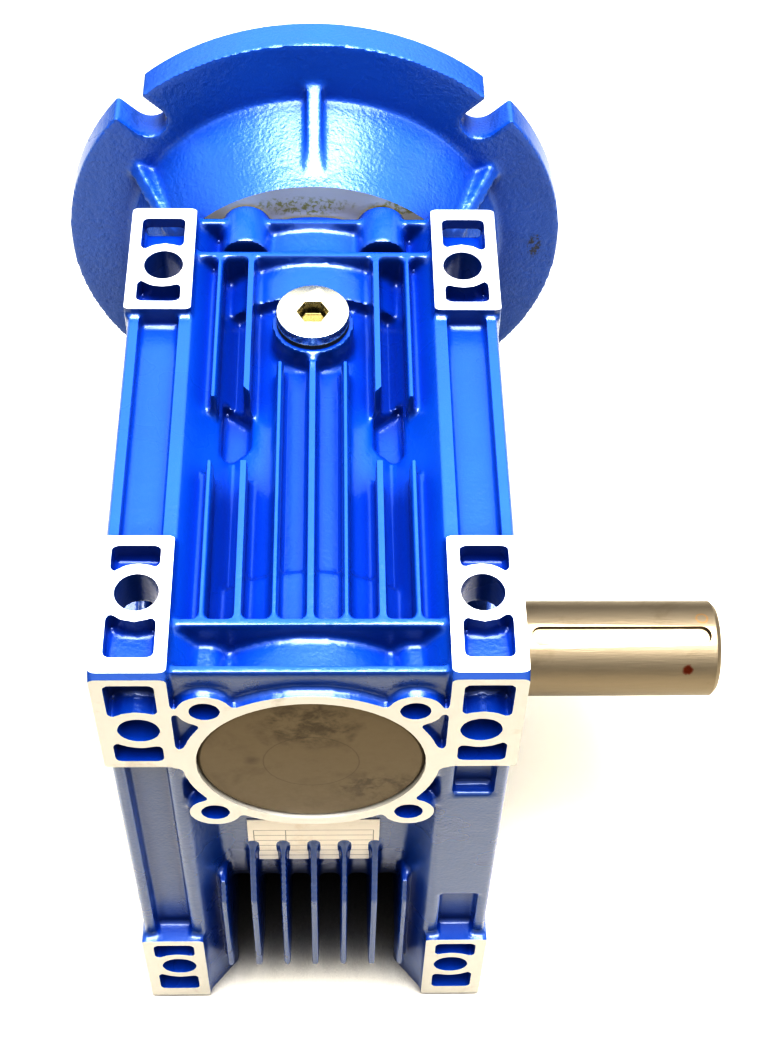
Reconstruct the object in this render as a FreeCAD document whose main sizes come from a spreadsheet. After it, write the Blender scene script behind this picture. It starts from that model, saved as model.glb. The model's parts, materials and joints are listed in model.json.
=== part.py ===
import FreeCAD
import Part
import Sketcher
import math
import os
import re

os.makedirs("parts", exist_ok=True)
doc = FreeCAD.newDocument("WormReducer")

# Driving dimensions in millimetres, in named groups; every cell of the sheet gets its name as alias
frame_sizes = {
    "centre_distance": 75,
    "output_height": 86,
    "crown_height": 44,
    "rear_cover_depth": 13,
    "input_cover_depth": 13.5,
    "half_width": 55.8,
    "pad_proud": 2.5,
    "inner_half_width": 36,
    "web_thickness": 3,
    "rim_thickness": 13,
    "rib_sink": 7,
    "gusset_width": 7,
    "gusset_height": 9,
    "rail_width": 3.6,
    "rail_setback": 1,
    "channel_depth": 4.5,
}
foot_sizes = {
    "foot_pitch_across": 90,
    "foot_pitch_along": 120,
    "front_hole_low": 26,
    "foot_hole_diameter": 11,
    "wide_hole_diameter": 11.6,
    "hole_wall": 3.8,
    "top_pad_start": 41.5,
    "lower_pad_top": 45.5,
    "window_border": 3.5,
    "window_low_border": 4.9,
    "window_depth": 6.2,
}
chamber_sizes = {
    "drum_radius": 73.6,
    "drum_wall": 5,
    "front_wall_inset": 12.2,
    "leg_flare": 9,
    "tube_radius": 35,
    "collar_radius": 36.5,
    "collar_lead": 9,
    "input_collar_radius": 39,
    "input_collar_lead": 5.5,
    "worm_bore_radius": 24,
    "side_boss_radius": 76.4,
    "right_boss_radius": 70,
    "side_boss_face": 57,
    "spigot_radius": 47.5,
    "spigot_face": 59.5,
}
rib_sizes = {
    "rib_pitch": 9.4,
    "rib_thickness": 2.2,
    "plate_thickness": 3,
    "web_inset": 18.5,
    "valley_rise": 17,
    "centre_rib_end": 24,
    "near_rib_end": 13.5,
    "far_rib_start": 9.5,
    "slope_drop": 8,
    "slope_foot": 5,
    "pocket_rise": 24,
    "pocket_inset": 1,
    "pocket_near_inner": 10,
    "pocket_near_outer": 13,
    "pocket_far_inner": 2,
    "pocket_far_outer": 9,
    "fin_top_drop": 18,
    "fin_tip_rise": 6,
    "fin_low_corner": 19.6,
    "fin_bottom_drop": 80,
    "fin_bottom_inset": 20,
    "side_fin_drop": 9,
    "rib_spread": 52,
    "panel_rise": 28,
    "panel_drop": 21,
    "panel_lap": 0.5,
    "nameplate_relief": 0.6,
}
ear_sizes = {
    "front_ear_offset": 27.35,
    "front_ear_radius": 7.3,
    "front_ear_body": 6,
    "front_ear_hole": 8,
    "front_ear_depth": 14,
    "input_bolt_circle_radius": 42,
    "input_bolt_angle": 60,
    "input_ear_radius": 7.5,
    "input_ear_setback": 3.5,
    "input_ring_radius": 39.5,
    "bridge_drop": 2.4,
    "bridge_rise": 8,
    "bridge_length": 8,
}
flange_sizes = {
    "flange_radius": 82.55,
    "flange_length": 39.4,
    "flange_thickness": 10.4,
    "gasket_thickness": 0.5,
    "neck_radius": 51.1,
    "neck_lip": 1.5,
    "cone_radius": 62,
    "end_plate_thickness": 12,
    "throat_radius": 24,
    "pilot_radius": 57.15,
    "pilot_depth": 5,
    "slot_circle_radius": 74.3,
    "slot_width": 12,
    "flange_rib_reach": 69,
    "flange_rib_thickness": 5,
    "flange_rib_count": 6,
}
bearing_sizes = {
    "rear_bore": 30,
    "rear_outside": 62,
    "rear_width": 16,
    "rear_start": 57,
    "input_bore": 40,
    "input_outside": 68,
    "input_width": 15,
    "output_bore": 50,
    "output_outside": 80,
    "output_width": 16,
    "output_start": 33,
    "ring_share": 0.31,
    "ball_clearance": 0.06,
    "seat_clearance": 0.02,
}
seal_sizes = {
    "cap_width": 10,
    "cap_recess": 0.7,
    "cap_chamfer": 1,
    "seal_gap": 2,
    "input_seal_width": 8,
    "output_seal_outside": 72,
    "output_seal_width": 8,
    "output_seal_recess": 1,
    "seal_clearance": 0.05,
}
gear_sizes = {
    "gear_module": 4,
    "wheel_teeth": 30,
    "tooth_backlash": 0.5,
    "tip_clearance": 0.8,
    "pressure_angle": 20,
    "wheel_face": 28,
    "wheel_rim_radius": 66,
    "gap_reach": 62,
    "gap_steps": 4,
    "thread_steps": 72,
    "wheel_seat_radius": 48,
    "thread_turns": 4.5,
    "thread_sink": 0.4,
}
shaft_sizes = {
    "worm_shoulder_radius": 18,
    "worm_reach": 14,
    "input_shoulder": 2,
    "worm_core_start": 42,
    "motor_bore": 15.88,
    "motor_key_width": 4.76,
    "motor_key_rise": 2.2,
    "motor_bore_depth": 42,
    "output_shaft_diameter": 31.75,
    "shaft_tip": 133.5,
    "shaft_chamfer": 1.5,
    "shaft_collar_radius": 19,
    "shaft_collar_width": 4,
    "shaft_collar_gap": 0.2,
    "shaft_inset": 2,
    "hub_half_length": 60,
    "hub_shoulder_radius": 29,
    "key_width": 6.35,
    "key_start": 71,
    "key_finish": 130.2,
    "key_depth": 3.2,
    "hub_key_half_length": 45,
    "hub_key_rise": 2.9,
    "key_tilt": 18,
    "retainer_radius": 21,
    "retainer_thickness": 4,
    "retainer_bolt": 10,
    "retainer_bolt_length": 30,
    "retainer_head_width": 17,
    "retainer_head_height": 6.4,
}
small_sizes = {
    "plug_offset": 37.5,
    "plug_boss_radius": 12,
    "plug_boss_drop": 1.5,
    "plug_head_radius": 10.7,
    "plug_head_height": 3.6,
    "plug_thread_radius": 6.6,
    "plug_thread_length": 10,
    "plug_socket": 8,
    "plug_socket_depth": 5,
    "washer_thickness": 1.5,
    "cover_opening_radius": 67.5,
    "cover_seat": 47,
    "room_half_width": 31,
    "cover_screw_circle_radius": 71.6,
    "cover_screw_count": 6,
    "cover_ledge": 51,
    "cover_ledge_radius": 66.5,
    "cover_screw": 5,
    "cover_screw_length": 16,
    "cover_screw_head": 8,
    "cover_screw_head_height": 3.5,
    "side_bolt_circle_radius": 57.5,
    "side_bolt_count": 4,
    "side_bolt_hole": 6.8,
    "side_bolt_depth": 14,
    "flange_bolt": 8,
    "flange_bolt_length": 25,
    "flange_bolt_head": 13,
    "flange_bolt_head_height": 5.5,
    "hole_clearance": 0.5,
    "nameplate_width": 40,
    "nameplate_drop": 6,
    "nameplate_height": 26,
    "nameplate_thickness": 0.3,
}
groups = [frame_sizes, foot_sizes, chamber_sizes, rib_sizes, ear_sizes, flange_sizes, bearing_sizes]
groups = groups + [seal_sizes, gear_sizes, shaft_sizes, small_sizes]

sheet = doc.addObject("Spreadsheet::Sheet", "Sizes")
sizes = {}
for group in groups:
    for name, value in group.items():
        row = len(sizes) + 1
        sizes[name] = value
        sheet.set("A%d" % row, name)
        sheet.set("B%d" % row, str(value))
        sheet.setAlias("B%d" % row, name)
doc.recompute()
node_objects = {}
side_bolts = sizes["side_bolt_count"]
cover_screws = sizes["cover_screw_count"]
side_bolt_angle = 45.0
cover_screw_angle = 30.0
wall_sides = 16
core_sides = 16
screw_sides = 8
shank_sides = 12
ball_row_sides = 12
bearing_sides = 24
seal_sides = 32

# Places that follow from the sizes of the sheet
follows = {
    "worm_height": "output_height + centre_distance",
    "body_height": "worm_height + crown_height",
    "half_depth": "rear_start + rear_width + rear_cover_depth",
    "skin_depth": "half_depth - pad_proud",
    "skin_top": "body_height - pad_proud",
    "front_wall_depth": "half_depth - front_wall_inset",
    "near_web": "half_depth - web_inset",
    "collar_inner_end": "rear_start - collar_lead",
    "input_start": "half_depth - input_cover_depth - input_width",
    "input_collar_inner_end": "input_start - input_collar_lead",
    "input_seal_start": "input_start + input_width + seal_gap",
    "worm_end": "half_depth + worm_reach",
    "flange_face": "half_depth + gasket_thickness",
    "flange_back": "half_depth + flange_length",
    "front_hole_high": "body_height - front_hole_low",
    "upper_pad_bottom": "body_height - lower_pad_top",
    "plug_boss_top": "body_height - plug_boss_drop",
    "valley_floor": "worm_height + valley_rise",
    "pocket_floor": "worm_height + pocket_rise",
    "bridge_low": "worm_height - bridge_drop",
    "bridge_high": "worm_height + bridge_rise",
    "fin_top": "output_height - fin_top_drop",
    "fin_tip_height": "output_height + fin_tip_rise",
    "fin_bottom": "output_height - fin_bottom_drop",
    "fin_bottom_corner": "half_depth - fin_bottom_inset",
    "side_fin_top": "output_height - side_fin_drop",
    "nameplate_low": "output_height - nameplate_drop",
    "nameplate_high": "nameplate_low + nameplate_height",
    "room_radius": "drum_radius - drum_wall",
    "pitch_radius": "gear_module * wheel_teeth / 2",
    "worm_pitch_radius": "centre_distance - pitch_radius",
}


def bound(text):
    """An expression whose words are names of the sheet, or of places that follow from it."""
    def cell(word):
        name = word.group(0)
        if name in follows:
            return "(%s)" % bound(follows[name])
        return "Sizes." + name if name in sizes else name
    return re.sub(r"[a-z][a-z_]*", cell, text)


def bind(item, **formulas):
    for name, text in formulas.items():
        item.setExpression(name.replace("__", "."), bound(text))
    return item


def place(item, across="0", along="0", up="0"):
    item.setExpression("Placement.Base.x", bound(across))
    item.setExpression("Placement.Base.y", bound(along))
    item.setExpression("Placement.Base.z", bound(up))
    return item


def box(name, x_range, y_range, z_range):
    """A block given by the start and end of each side."""
    block = doc.addObject("Part::Box", name)
    bind(block, Length="(%s) - (%s)" % (x_range[1], x_range[0]))
    bind(block, Width="(%s) - (%s)" % (y_range[1], y_range[0]))
    bind(block, Height="(%s) - (%s)" % (z_range[1], z_range[0]))
    return place(block, x_range[0], y_range[0], z_range[0])


axis_turns = {
    "X": FreeCAD.Rotation(FreeCAD.Vector(0, 1, 0), 90),
    "Y": FreeCAD.Rotation(FreeCAD.Vector(1, 0, 0), -90),
    "Z": FreeCAD.Rotation(),
}


def rod(name, axis, radius, start, finish, centre=("0", "0")):
    """A round bar along an axis, from start to finish, its centre given by the other two places."""
    bar = doc.addObject("Part::Cylinder", name)
    bar.Placement = FreeCAD.Placement(FreeCAD.Vector(), axis_turns[axis])
    bind(bar, Radius=radius, Height="(%s) - (%s)" % (finish, start))
    places = list(centre)
    places.insert("XYZ".index(axis), start)
    return place(bar, *places)


def many_sided(name, axis, sides, radius, start, finish, centre=("0", "0"), hole=False):
    """A prism with flat sides, inside its circle, or just outside it where it makes a hole."""
    bar = doc.addObject("Part::Prism", name)
    bar.Polygon = sides
    bar.Placement = FreeCAD.Placement(FreeCAD.Vector(), axis_turns[axis])
    bind(bar, Circumradius="(%s) / cos(%s)" % (radius, 180.0 / sides if hole else 0))
    bind(bar, Height="(%s) - (%s)" % (finish, start))
    places = list(centre)
    places.insert("XYZ".index(axis), start)
    return place(bar, *places)


def faceted_ring(name, axis, sides, start, finish, inner, outer):
    """A ring with flat sides, for pieces that the housing hides."""
    bar = many_sided(name + "Bar", axis, sides, outer, start, finish)
    hole = many_sided(name + "Hole", axis, sides, inner, start + " - 1", finish + " + 1", hole=True)
    return cut(name, bar, [hole])


def fuse(name, items):
    joined = doc.addObject("Part::MultiFuse", name)
    joined.Shapes = items
    return joined


def cut(name, base, tools):
    remainder = doc.addObject("Part::Cut", name)
    remainder.Base = base
    remainder.Tool = tools[0] if len(tools) == 1 else fuse(name + "Tools", tools)
    return remainder


def common(name, items):
    shared = doc.addObject("Part::MultiCommon", name)
    shared.Shapes = items
    return shared


def origin_plane(body, role):
    return [item for item in body.Origin.OriginFeatures if item.Role == role][0]


def draw_outline(sketch, points):
    """A closed outline whose corners are each held by two bound distances from the origin."""
    count = len(points)
    for index in range(count):
        corner = FreeCAD.Vector(10 + index, index * index, 0)
        following = FreeCAD.Vector(11 + index, (index + 1) * (index + 1), 0)
        sketch.addGeometry(Part.LineSegment(corner, following), False)
    for index in range(count):
        sketch.addConstraint(Sketcher.Constraint("Coincident", index, 2, (index + 1) % count, 1))
    for index, corner in enumerate(points):
        for kind, text in zip(("DistanceX", "DistanceY"), corner):
            number = sketch.addConstraint(Sketcher.Constraint(kind, -1, 1, index, 1, 1.0))
            sketch.setExpression("Constraints[%d]" % number, bound(text))


def body_sketch(body, name, role, points):
    sketch = body.newObject("Sketcher::SketchObject", name)
    sketch.AttachmentSupport = (origin_plane(body, role), [""])
    sketch.MapMode = "FlatFace"
    draw_outline(sketch, points)
    return sketch


def turned(name, axis, points):
    """A turned body about X, Y or Z, from corners given as place along the axis and radius."""
    body = doc.addObject("PartDesign::Body", name)
    plane = "YZ_Plane" if axis == "Y" else "XZ_Plane"
    if axis == "Z":
        points = [(radius, along) for along, radius in points]
    sketch = body_sketch(body, name + "Outline", plane, points)
    turning = body.newObject("PartDesign::Revolution", name + "Turning")
    turning.Profile = sketch
    turning.ReferenceAxis = (sketch, ["V_Axis" if axis == "Z" else "H_Axis"])
    turning.Angle = 360
    return body


def extruded(name, role, points, length):
    """A prism from an outline on an origin plane, pushed equally to both sides of it."""
    body = doc.addObject("PartDesign::Body", name)
    sketch = body_sketch(body, name + "Outline", role, points)
    pad = body.newObject("PartDesign::Pad", name + "Pad")
    pad.Profile = sketch
    pad.Midplane = True
    bind(pad, Length=length)
    return body


def node(item, label):
    item.Label = label
    node_objects[label] = item
    return item


def around(count, start_angle=0.0):
    """Evenly spaced angles in degrees."""
    return [start_angle + 360.0 * index / count for index in range(count)]


def on_circle(radius, angle):
    """Two formulas for a point on a circle."""
    return "%s * cos(%.4f)" % (radius, angle), "%s * sin(%.4f)" % (radius, angle)


mirrored = {"left": "-1", "right": "1"}
ends = {"front": "-1", "back": "1"}


def times(sign, text):
    return "%s * (%s)" % (sign, text)


def span(sign, near, far):
    """A range that runs outward on either side of the middle plane."""
    return (near, far) if sign == "1" else (times("-1", far), times("-1", near))


def frame_outline():
    """Side view of the two side frames: eight machined pads stand proud of the cast skin."""
    front = [
        ("-top_pad_start", "skin_top"),
        ("-top_pad_start", "body_height"),
        ("-skin_depth", "body_height"),
        ("-half_depth", "skin_top"),
        ("-half_depth", "upper_pad_bottom"),
        ("-skin_depth", "upper_pad_bottom"),
        ("-skin_depth", "lower_pad_top"),
        ("-half_depth", "lower_pad_top"),
        ("-half_depth", "pad_proud"),
        ("-skin_depth", "0"),
        ("-top_pad_start", "0"),
        ("-top_pad_start", "pad_proud"),
    ]
    back = [("-(%s)" % along, up) for along, up in reversed(front)]
    return front + back


def pad_places():
    """Every machined pad: its name, the face it is on, its side, and its hole's place along that face."""
    pads = []
    for side, across in mirrored.items():
        for end, along in ends.items():
            for face in ("top", "bottom"):
                pads.append((side + end + face, face, across, times(along, "foot_pitch_along / 2")))
            for level, height in (("Low", "front_hole_low"), ("High", "front_hole_high")):
                pads.append((side + end + level, end, across, height))
    return pads


def pad_rod(name, face, across, place_along, radius, depth):
    """A round bar square to a pad, from its outer face inward."""
    middle = times(across, "foot_pitch_across / 2")
    if face == "top":
        return rod(name, "Z", radius, "body_height - (%s)" % depth, "body_height", (middle, place_along))
    if face == "bottom":
        return rod(name, "Z", radius, "0", depth, (middle, place_along))
    start, finish = span(ends[face], "half_depth - (%s)" % depth, "half_depth")
    return rod(name, "Y", radius, start, finish, (middle, place_along))


def pad_wall(name, face, across, place_along, radius):
    """The wall that is left round a bolt hole inside a sunk window."""
    middle = times(across, "foot_pitch_across / 2")
    if face in ("top", "bottom"):
        start = "body_height - window_depth" if face == "top" else "0"
        finish = start + " + window_depth"
        return many_sided(name, "Z", wall_sides, radius, start, finish, (middle, place_along))
    start, finish = span(ends[face], "half_depth - window_depth", "half_depth")
    return many_sided(name, "Y", wall_sides, radius, start, finish, (middle, place_along))


def pad_window(name, face, across, place_along):
    """The sunk area of a pad inside its border."""
    wide = span(across, "inner_half_width + window_border", "half_width - window_border")
    inner = "top_pad_start + window_border"
    outer = "skin_depth - window_border"
    if face in ("top", "bottom"):
        sign = "-1" if place_along.startswith("-1") else "1"
        along = span(sign, inner, outer)
        if face == "top":
            return box(name, wide, along, ("body_height - window_depth", "body_height"))
        return box(name, wide, along, ("0", "window_depth"))
    along = span(ends[face], "half_depth - window_depth", "half_depth")
    if place_along == "front_hole_high":
        return box(name, wide, along, ("upper_pad_bottom + window_border", "skin_top - window_border / 2"))
    return box(name, wide, along, ("pad_proud + window_low_border", "lower_pad_top - window_border"))


def pad_cuts():
    """Bolt holes and sunk windows of all sixteen pads."""
    holes = []
    walls = []
    windows = []
    for name, face, across, place_along in pad_places():
        wide = face in ("top", "back")
        hole_radius = "wide_hole_diameter / 2" if wide else "foot_hole_diameter / 2"
        wall_radius = "foot_hole_diameter / 2 + hole_wall"
        holes.append(pad_rod(name + "Hole", face, across, place_along, hole_radius, "rim_thickness + 1"))
        walls.append(pad_wall(name + "Wall", face, across, place_along, wall_radius))
        windows.append(pad_window(name + "Window", face, across, place_along))
    return [cut("PadWindows", fuse("WindowBlocks", windows), walls)] + holes


def channel_cuts():
    """The channel between the two rails of each column, on four faces of both frames."""
    channels = []
    for side, across in mirrored.items():
        wide = span(across, "inner_half_width + rail_width", "half_width - rail_setback - rail_width")
        edge = span(across, "half_width - rail_setback", "half_width + 1")
        for face in ("Top", "Bottom"):
            deep = ("pad_proud", "pad_proud + channel_depth")
            if face == "Top":
                deep = ("skin_top - channel_depth", "skin_top")
            channels.append(box(side + face + "Channel", wide, ("-top_pad_start", "top_pad_start"), deep))
        for end, along in ends.items():
            deep = span(along, "skin_depth - channel_depth", "skin_depth")
            tall = ("lower_pad_top", "upper_pad_bottom")
            channels.append(box(side + end + "Channel", wide, deep, tall))
            channels.append(box(side + end + "Edge", edge, span(along, "rim_thickness", "skin_depth"), tall))
        between = ("-top_pad_start", "top_pad_start")
        channels.append(box(side + "TopEdge", edge, between, ("body_height / 2", "skin_top")))
    return channels


def side_frames():
    """Two upright frames with pads at the corners, channelled columns and a thin web inside."""
    slab = extruded("FrameSlab", "YZ_Plane", frame_outline(), "2 * half_width")
    middle = box(
        "FrameMiddle",
        ("-inner_half_width", "inner_half_width"),
        ("-half_depth - 1", "half_depth + 1"),
        ("-1", "body_height + 1"),
    )
    recesses = []
    for side, across in mirrored.items():
        wide = span(across, "inner_half_width + web_thickness", "half_width + 1")
        along = ("rim_thickness - half_depth", "half_depth - rim_thickness")
        recesses.append(box(side + "Recess", wide, along, ("rim_thickness", "body_height - rim_thickness")))
    return cut("SideFrames", slab, [middle] + recesses + channel_cuts())


def frame_ribs():
    """Upright ribs in the side recesses above the output boss."""
    ribs = []
    for side, across in mirrored.items():
        wide = span(across, "inner_half_width", "half_width - channel_depth")
        for end, along in ends.items():
            middle = times(along, "rib_spread / 2")
            thick = (middle + " - plate_thickness", middle + " + plate_thickness")
            tall = ("output_height + right_boss_radius - rib_sink", "body_height - rim_thickness + 1")
            ribs.append(box(side + end + "Rib", wide, thick, tall))
    return ribs


def column_panel():
    """The right front column's channel is filled flush over its middle."""
    wide = ("inner_half_width + rail_width / 2", "half_width - rail_setback - rail_width / 2")
    deep = ("-skin_depth", "channel_depth - skin_depth + panel_lap")
    return box("ColumnPanel", wide, deep, ("lower_pad_top + panel_rise", "upper_pad_bottom - panel_drop"))


def leg_flares():
    """Slanted walls that run from the legs in to the front and back walls."""
    flares = []
    for side, across in mirrored.items():
        for end, along in ends.items():
            outline = [
                (times(across, "inner_half_width + 1"), times(along, "skin_depth")),
                (times(across, "inner_half_width"), times(along, "skin_depth")),
                (times(across, "inner_half_width - leg_flare"), times(along, "front_wall_depth - 1")),
                (times(across, "inner_half_width - leg_flare"), times(along, "front_wall_depth - drum_wall")),
                (times(across, "inner_half_width + 1"), times(along, "front_wall_depth - drum_wall")),
            ]
            flare = extruded(side + end + "Flare", "XY_Plane", outline, "bridge_high")
            flares.append(place(flare, up="bridge_high / 2"))
    return flares


def chamber_walls():
    """Drum round the wheel, neck up to the valley floor, and the plates across its top."""
    across = ("-inner_half_width", "inner_half_width")
    along = ("-front_wall_depth", "front_wall_depth")
    full = ("-skin_depth", "skin_depth")
    walls = [
        rod("Drum", "X", "drum_radius", "-inner_half_width", "inner_half_width", ("0", "output_height")),
        box("Neck", across, along, ("output_height", "valley_floor")),
        box("ValleyPlate", across, full, ("valley_floor - drum_wall", "valley_floor")),
    ]
    for end, sign in ends.items():
        plate = span(sign, "skin_depth - plate_thickness", "skin_depth")
        web = span(sign, "near_web - plate_thickness / 2", "near_web + plate_thickness / 2")
        walls.append(box(end + "Plate", across, plate, ("bridge_low + bridge_length", "skin_top")))
        walls.append(box(end + "Web", across, web, ("valley_floor", "skin_top")))
    return walls


def valley_slopes():
    """Slopes from the frames down to the tube, along both sides of the top bay."""
    slopes = []
    for side, across in mirrored.items():
        outline = [
            (times(across, "inner_half_width + 1"), "skin_top"),
            (times(across, "inner_half_width"), "skin_top"),
            (times(across, "3 * rib_pitch + rib_thickness / 2"), "skin_top - slope_drop"),
            (times(across, "2 * rib_pitch"), "valley_floor + slope_foot"),
            (times(across, "2 * rib_pitch"), "valley_floor - 1"),
            (times(across, "inner_half_width + 1"), "valley_floor - 1"),
        ]
        slopes.append(extruded(side + "Slope", "XZ_Plane", outline, "2 * near_web"))
    return slopes


def end_gussets():
    """Slopes beside the pads, at the top corners of the four end bays."""
    gussets = []
    for side, across in mirrored.items():
        outline = [
            (times(across, "inner_half_width + 1"), "skin_top"),
            (times(across, "inner_half_width"), "skin_top"),
            (times(across, "inner_half_width - gusset_width"), "skin_top - gusset_height"),
            (times(across, "inner_half_width - gusset_width"), "worm_height + front_ear_offset"),
            (times(across, "inner_half_width + 1"), "worm_height + front_ear_offset"),
        ]
        for end, along in ends.items():
            gusset = extruded(side + end + "Gusset", "XZ_Plane", outline, "skin_depth - near_web")
            gussets.append(place(gusset, along=times(along, "(skin_depth + near_web) / 2")))
    return gussets


def worm_tubes():
    """The tube round the worm, its collars, and the machined rings at both ends."""
    centre = ("0", "worm_height")
    return [
        rod("Tube", "Y", "tube_radius", "-skin_depth", "skin_depth", centre),
        rod("RearCollar", "Y", "collar_radius", "-skin_depth", "-collar_inner_end", centre),
        rod("InputCollar", "Y", "input_collar_radius", "input_collar_inner_end", "skin_depth", centre),
        rod("RearRing", "Y", "tube_radius", "-half_depth", "-near_web", centre),
        rod("InputRing", "Y", "input_ring_radius", "near_web", "half_depth", centre),
    ]


def end_ears():
    """Screw ears round the rear cover ring and the input ring, and the bridges to the pads."""
    ears = []
    for side, across in mirrored.items():
        for level, up in (("Low", "-1"), ("High", "1")):
            rear = (times(across, "front_ear_offset"), "worm_height + " + times(up, "front_ear_offset"))
            name = side + level
            bolt = input_bolt(across, up)
            ears.append(rod(name + "RearEar", "Y", "front_ear_radius", "-half_depth", "1 - skin_depth", rear))
            ears.append(rod(name + "RearBody", "Y", "front_ear_body", "-skin_depth", "-near_web", rear))
            ear_start = "near_web + input_ear_setback"
            ears.append(rod(name + "InputEar", "Y", "input_ear_radius", ear_start, "half_depth", bolt))
        wide = span(across, "inner_half_width - bridge_length", "inner_half_width + 1")
        deep = ("-half_depth", "plate_thickness - skin_depth")
        ears.append(box(side + "Bridge", wide, deep, ("bridge_low", "bridge_high")))
    return ears


def input_bolt(across, up):
    """Place of one bolt that holds the motor flange."""
    offset = times(across, "input_bolt_circle_radius * cos(input_bolt_angle)")
    height = "worm_height + " + times(up, "input_bolt_circle_radius * sin(input_bolt_angle)")
    return offset, height


def top_ribs():
    """Upright ribs in the top bay: three over the worm tube and two pairs on each side."""
    ribs = []
    for index in (-3, -2, -1, 0, 1, 2, 3):
        middle = "%d * rib_pitch" % index
        thick = (middle + " - rib_thickness / 2", middle + " + rib_thickness / 2")
        tall = ("valley_floor - 1", "skin_top")
        name = "TopRib%d" % (index + 3)
        if abs(index) < 2:
            ribs.append(box(name, thick, ("-near_web", "centre_rib_end"), tall))
        else:
            ribs.append(box(name + "Near", thick, ("-near_web", "-near_rib_end"), tall))
            ribs.append(box(name + "Far", thick, ("far_rib_start", "near_web"), tall))
    return ribs


def lower_fins():
    """Cooling fins below the cover ring, round the front, bottom and back of the drum."""
    outline = [
        ("-(front_wall_depth + nameplate_relief)", "fin_tip_height"),
        ("-skin_depth", "fin_top"),
        ("-skin_depth", "fin_low_corner"),
        ("-fin_bottom_corner", "fin_bottom"),
        ("fin_bottom_corner", "fin_bottom"),
        ("skin_depth", "fin_low_corner"),
        ("skin_depth", "fin_top"),
        ("front_wall_depth", "fin_tip_height"),
        ("front_wall_depth - 1", "nameplate_low - 2"),
        ("-(front_wall_depth + nameplate_relief)", "nameplate_low - 2"),
    ]
    outer = extruded("FinOutline", "YZ_Plane", outline, "2 * inner_half_width")
    slabs = []
    for index in (-3, -2, -1, 0, 1, 2, 3):
        middle = "%d * rib_pitch" % index
        thick = (middle + " - rib_thickness / 2", middle + " + rib_thickness / 2")
        top = "side_fin_top" if abs(index) == 3 else "fin_tip_height"
        slabs.append(box("FinSlab%d" % (index + 3), thick, ("-half_depth", "half_depth"), ("0", top)))
    return common("LowerFins", [outer, fuse("FinSlabs", slabs)])


def plug_bosses():
    """Seats of the filler plug on top and the drain plug below."""
    seat = "plug_boss_radius"
    return [
        rod("FillBoss", "Z", seat, "worm_height", "plug_boss_top", ("0", "plug_offset")),
        rod("DrainBoss", "Z", seat, "fin_bottom", "output_height - room_radius - 1"),
    ]


def pocket_blocks():
    """Skewed pockets beside the tube, where the side ribs stop short of each other."""
    blocks = []
    for side, across in mirrored.items():
        inner = times(across, "2 * rib_pitch - pocket_inset")
        outer = times(across, "3 * rib_pitch - 2 * pocket_inset")
        outline = [
            (inner, "far_rib_start - pocket_near_inner"),
            (outer, "far_rib_start - pocket_near_outer"),
            (outer, "far_rib_start + pocket_far_outer"),
            (inner, "far_rib_start + pocket_far_inner"),
        ]
        block = extruded(side + "Pocket", "XY_Plane", outline, "skin_top + 1 - pocket_floor")
        blocks.append(place(block, up="(skin_top + 1 + pocket_floor) / 2"))
    return blocks


def worm_bores():
    """Stepped bore for the worm, its bearings, end cap and seal."""
    centre = ("0", "worm_height")
    rear = "rear_outside / 2 + seat_clearance"
    input_seat = "input_outside / 2 + seat_clearance"
    return [
        rod("WormBore", "Y", "worm_bore_radius", "-rear_start - 1", "input_start + 1", centre),
        rod("RearBore", "Y", rear, "-half_depth - 1", "-rear_start", centre),
        rod("InputBore", "Y", input_seat, "input_start", "half_depth + 1", centre),
    ]


def output_bores():
    """Right side: bearing seat and seal bore; left side: the opening that the cover closes."""
    centre = ("0", "output_height")
    bearing = "output_outside / 2 + seat_clearance"
    seal = "output_seal_outside / 2 + seal_clearance"
    shoulder = "output_start + output_width"
    return [
        rod("WheelRoom", "X", "room_radius", "-room_half_width", "room_half_width", centre),
        rod("BearingSeat", "X", bearing, "0", shoulder, centre),
        rod("SealBore", "X", seal, "0", "spigot_face + 1", centre),
        rod("CoverOpening", "X", "cover_opening_radius", "-side_boss_face - 1", "0", centre),
        rod(
            "CoverRelief", "X", "side_boss_radius + hole_clearance",
            "-side_boss_face - 1", "-cover_seat", centre,
        ),
    ]


def side_bosses():
    """Round output bosses on both sides: a full flange right, the cover's seat left."""
    centre = ("0", "output_height")
    return [
        rod("RightBoss", "X", "right_boss_radius", "inner_half_width", "side_boss_face", centre),
        rod("RightSpigot", "X", "spigot_radius", "side_boss_face", "spigot_face", centre),
        rod("LeftBoss", "X", "side_boss_radius", "-cover_seat", "-inner_half_width", centre),
    ]


def ear_holes():
    holes = []
    for side, across in mirrored.items():
        for level, up in (("Low", "-1"), ("High", "1")):
            rear = (times(across, "front_ear_offset"), "worm_height + " + times(up, "front_ear_offset"))
            outside = "-half_depth - 1"
            deep = "front_ear_depth - half_depth"
            holes.append(rod(side + level + "RearHole", "Y", "front_ear_hole / 2", outside, deep, rear))
            drilled = "flange_bolt / 2 + seal_clearance"
            start = "flange_face + end_plate_thickness - flange_bolt_length - 1"
            centre = input_bolt(across, up)
            label = side + level + "BoltHole"
            holes.append(many_sided(label, "Y", screw_sides, drilled, start, "half_depth + 1", centre, True))
    return holes


def circle_bars(name, count, circle, make, start_angle):
    """Bars along X on a circle about the output axis, each made by the function that is given."""
    bars = []
    for index, angle in enumerate(around(count, start_angle)):
        along, up = on_circle(circle, angle)
        bars.append(make("%s%d" % (name, index), (along, "output_height + " + up)))
    return bars


def side_bolt_holes(name, start, finish):
    """Tapped holes beside the output spigot, for a foot or a flange."""
    def hole(label, centre):
        return rod(label, "X", "side_bolt_hole / 2", start, finish, centre)
    return circle_bars(name, side_bolts, "side_bolt_circle_radius", hole, side_bolt_angle)


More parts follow.
